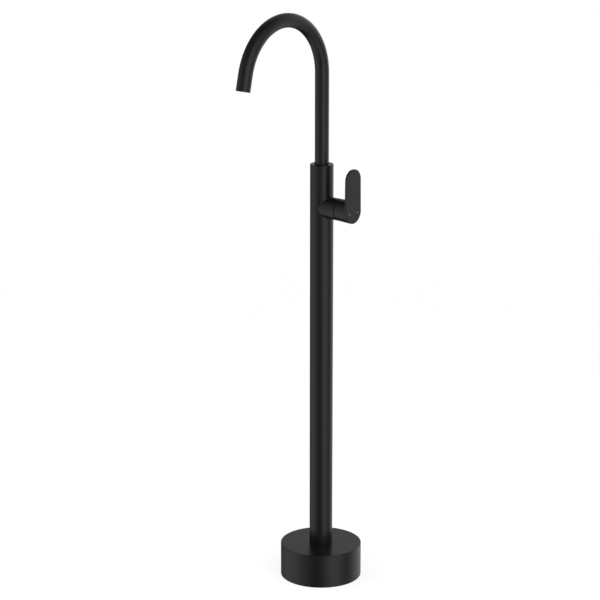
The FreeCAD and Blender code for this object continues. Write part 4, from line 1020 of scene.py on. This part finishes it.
class FILLER_OT_stage(bpy.types.Operator):
    """Set up floor, light and camera"""

    bl_idname = "filler.stage"
    bl_label = "Stage"

    def execute(self, context):
        """A pale floor, a globe that only reflections see, two lamps and the camera."""
        scene = context.scene
        studio = scene.filler_studio
        half = studio.floor_size / 2
        square = np.array([(-half, -half, 0), (half, -half, 0), (half, half, 0), (-half, half, 0)])
        ground = stage_card("floor", square, [(0, 1, 2, 3)], floor_material(studio))
        ground.visible_glossy = False
        self.tent(studio)
        self.world(scene, studio)
        place = studio.camera_place
        self.lamp("key", studio.key, place, degrees=35, away=2.6, height=2.6)
        self.lamp("fill", studio.fill, place, degrees=-75, away=2.8, height=2.2)
        camera = bpy.data.objects.new("camera", bpy.data.cameras.new("camera"))
        scene.collection.objects.link(camera)
        camera.location = place
        camera.rotation_euler = studio.camera_turn
        camera.data.lens = studio.camera_lens
        camera.data.clip_end = 100
        camera.data.dof.use_dof = False
        scene.camera = camera
        scene.view_settings.view_transform = "Standard"
        return {"FINISHED"}

    def tent(self, studio):
        """A globe about the object that only mirror rays see.

        Its glow is that of the floor below the horizon, fading to none at the horizon,
        plus level * exp(-(turn / half width)^2 - (rise / half height)^2) for each panel.
        """
        place = studio.camera_place
        facing = math.atan2(place.y, place.x)
        azimuth = np.linspace(-180, 180, AZIMUTH_STEPS + 1)
        height = np.linspace(-90, 90, HEIGHT_STEPS + 1)[:, None]
        glow = np.clip(-height / 90, 0, 1) * TENT_FLOOR + 0 * azimuth
        for middle, wide, rise, high, level in PANELS:
            turn = (azimuth - middle + 180) % 360 - 180
            glow = glow + level * np.exp(-((turn / wide) ** 2) - ((height - rise) / high) ** 2)
        glow = np.clip(glow, 0, None)
        turn, tilt = facing + np.radians(azimuth), np.radians(height)
        points = TENT_RADIUS * np.stack([
            np.cos(tilt) * np.cos(turn), np.cos(tilt) * np.sin(turn), np.sin(tilt) + 0 * turn,
        ], axis=-1)
        card = stage_card("tent", points, grid_faces(*glow.shape), tent_material())
        level = card.data.attributes.new("glow", "FLOAT_COLOR", "POINT")
        level.data.foreach_set("color", np.repeat(glow.reshape(-1, 1), 4, axis=1).ravel())
        card.visible_camera = False
        card.visible_diffuse = False
        card.visible_transmission = False
        card.visible_volume_scatter = False
        card.visible_shadow = False

    def world(self, scene, studio):
        """White where it is seen, and a plain soft light elsewhere."""
        world = bpy.data.worlds.new("studio")
        scene.world = world
        world.use_nodes = True
        nodes = Nodes(world.node_tree)
        background = nodes.tree.nodes["Background"]
        nodes.feed(background.inputs["Color"], WHITE)
        nodes.feed(background.inputs["Strength"], studio.ambient)
        soft = Signal(nodes, background.outputs[0])
        white = nodes.node("ShaderNodeBackground", {}, {"Color": WHITE, "Strength": 1.0})
        camera, glossy, through = (
            nodes.node("ShaderNodeLightPath", {}, {}, f"Is {kind} Ray")
            for kind in ("Camera", "Glossy", "Transmission")
        )
        seen = camera.math("MAXIMUM", glossy).math("MAXIMUM", through)
        mixed = nodes.node("ShaderNodeMixShader", {}, {0: seen, 1: soft, 2: white})
        nodes.output("World Output", mixed)

    def lamp(self, name, watts, place, degrees, away, height):
        """A square soft box, turned from the camera, that looks at the object's middle."""
        facing = math.atan2(place.y, place.x) + math.radians(degrees)
        data = bpy.data.lights.new(name, "AREA")
        data.shape = "SQUARE"
        data.size = LAMP_SIZE
        data.energy = watts
        lamp = bpy.data.objects.new(name, data)
        bpy.context.scene.collection.objects.link(lamp)
        lamp.location = (away * math.cos(facing), away * math.sin(facing), height)
        lean = math.atan2(away, height - LAMP_AIM)
        lamp.rotation_euler = (lean, 0, facing + math.pi / 2)
        lamp.visible_glossy = False
        lamp.visible_camera = False


# Add-on


class FILLER_PT_panel(bpy.types.Panel):
    """The bath filler's tools and sizes"""

    bl_idname = "FILLER_PT_panel"
    bl_label = "Bath filler"
    bl_space_type = "VIEW_3D"
    bl_region_type = "UI"
    bl_category = "Bath Filler"

    def draw(self, context):
        layout = self.layout
        for operator in OPERATORS:
            layout.operator(operator.bl_idname)
        for group in (context.scene.filler_sizes, context.scene.filler_finish,
                      context.scene.filler_studio):
            box = layout.box()
            for name in group.bl_rna.properties.keys():
                if name not in ("rna_type", "name"):
                    box.prop(group, name)


OPERATORS = (
    FILLER_OT_finishes, FILLER_OT_base, FILLER_OT_column, FILLER_OT_barrel, FILLER_OT_lever,
    FILLER_OT_spout, FILLER_OT_dots, FILLER_OT_stage,
)
CLASSES = (FillerSizes, FillerFinish, FillerStudio, *OPERATORS, FILLER_PT_panel)


def register():
    for each in CLASSES:
        bpy.utils.register_class(each)
    bpy.types.Scene.filler_sizes = bpy.props.PointerProperty(type=FillerSizes)
    bpy.types.Scene.filler_finish = bpy.props.PointerProperty(type=FillerFinish)
    bpy.types.Scene.filler_studio = bpy.props.PointerProperty(type=FillerStudio)


def unregister():
    del bpy.types.Scene.filler_studio
    del bpy.types.Scene.filler_finish
    del bpy.types.Scene.filler_sizes
    for each in reversed(CLASSES):
        bpy.utils.unregister_class(each)


def main():
    register()
    bpy.ops.filler.finishes()
    bpy.ops.filler.base()
    bpy.ops.filler.column()
    bpy.ops.filler.barrel()
    bpy.ops.filler.lever()
    bpy.ops.filler.spout()
    bpy.ops.filler.dots()
    bpy.ops.filler.stage()


if __name__ == "__main__":
    main()
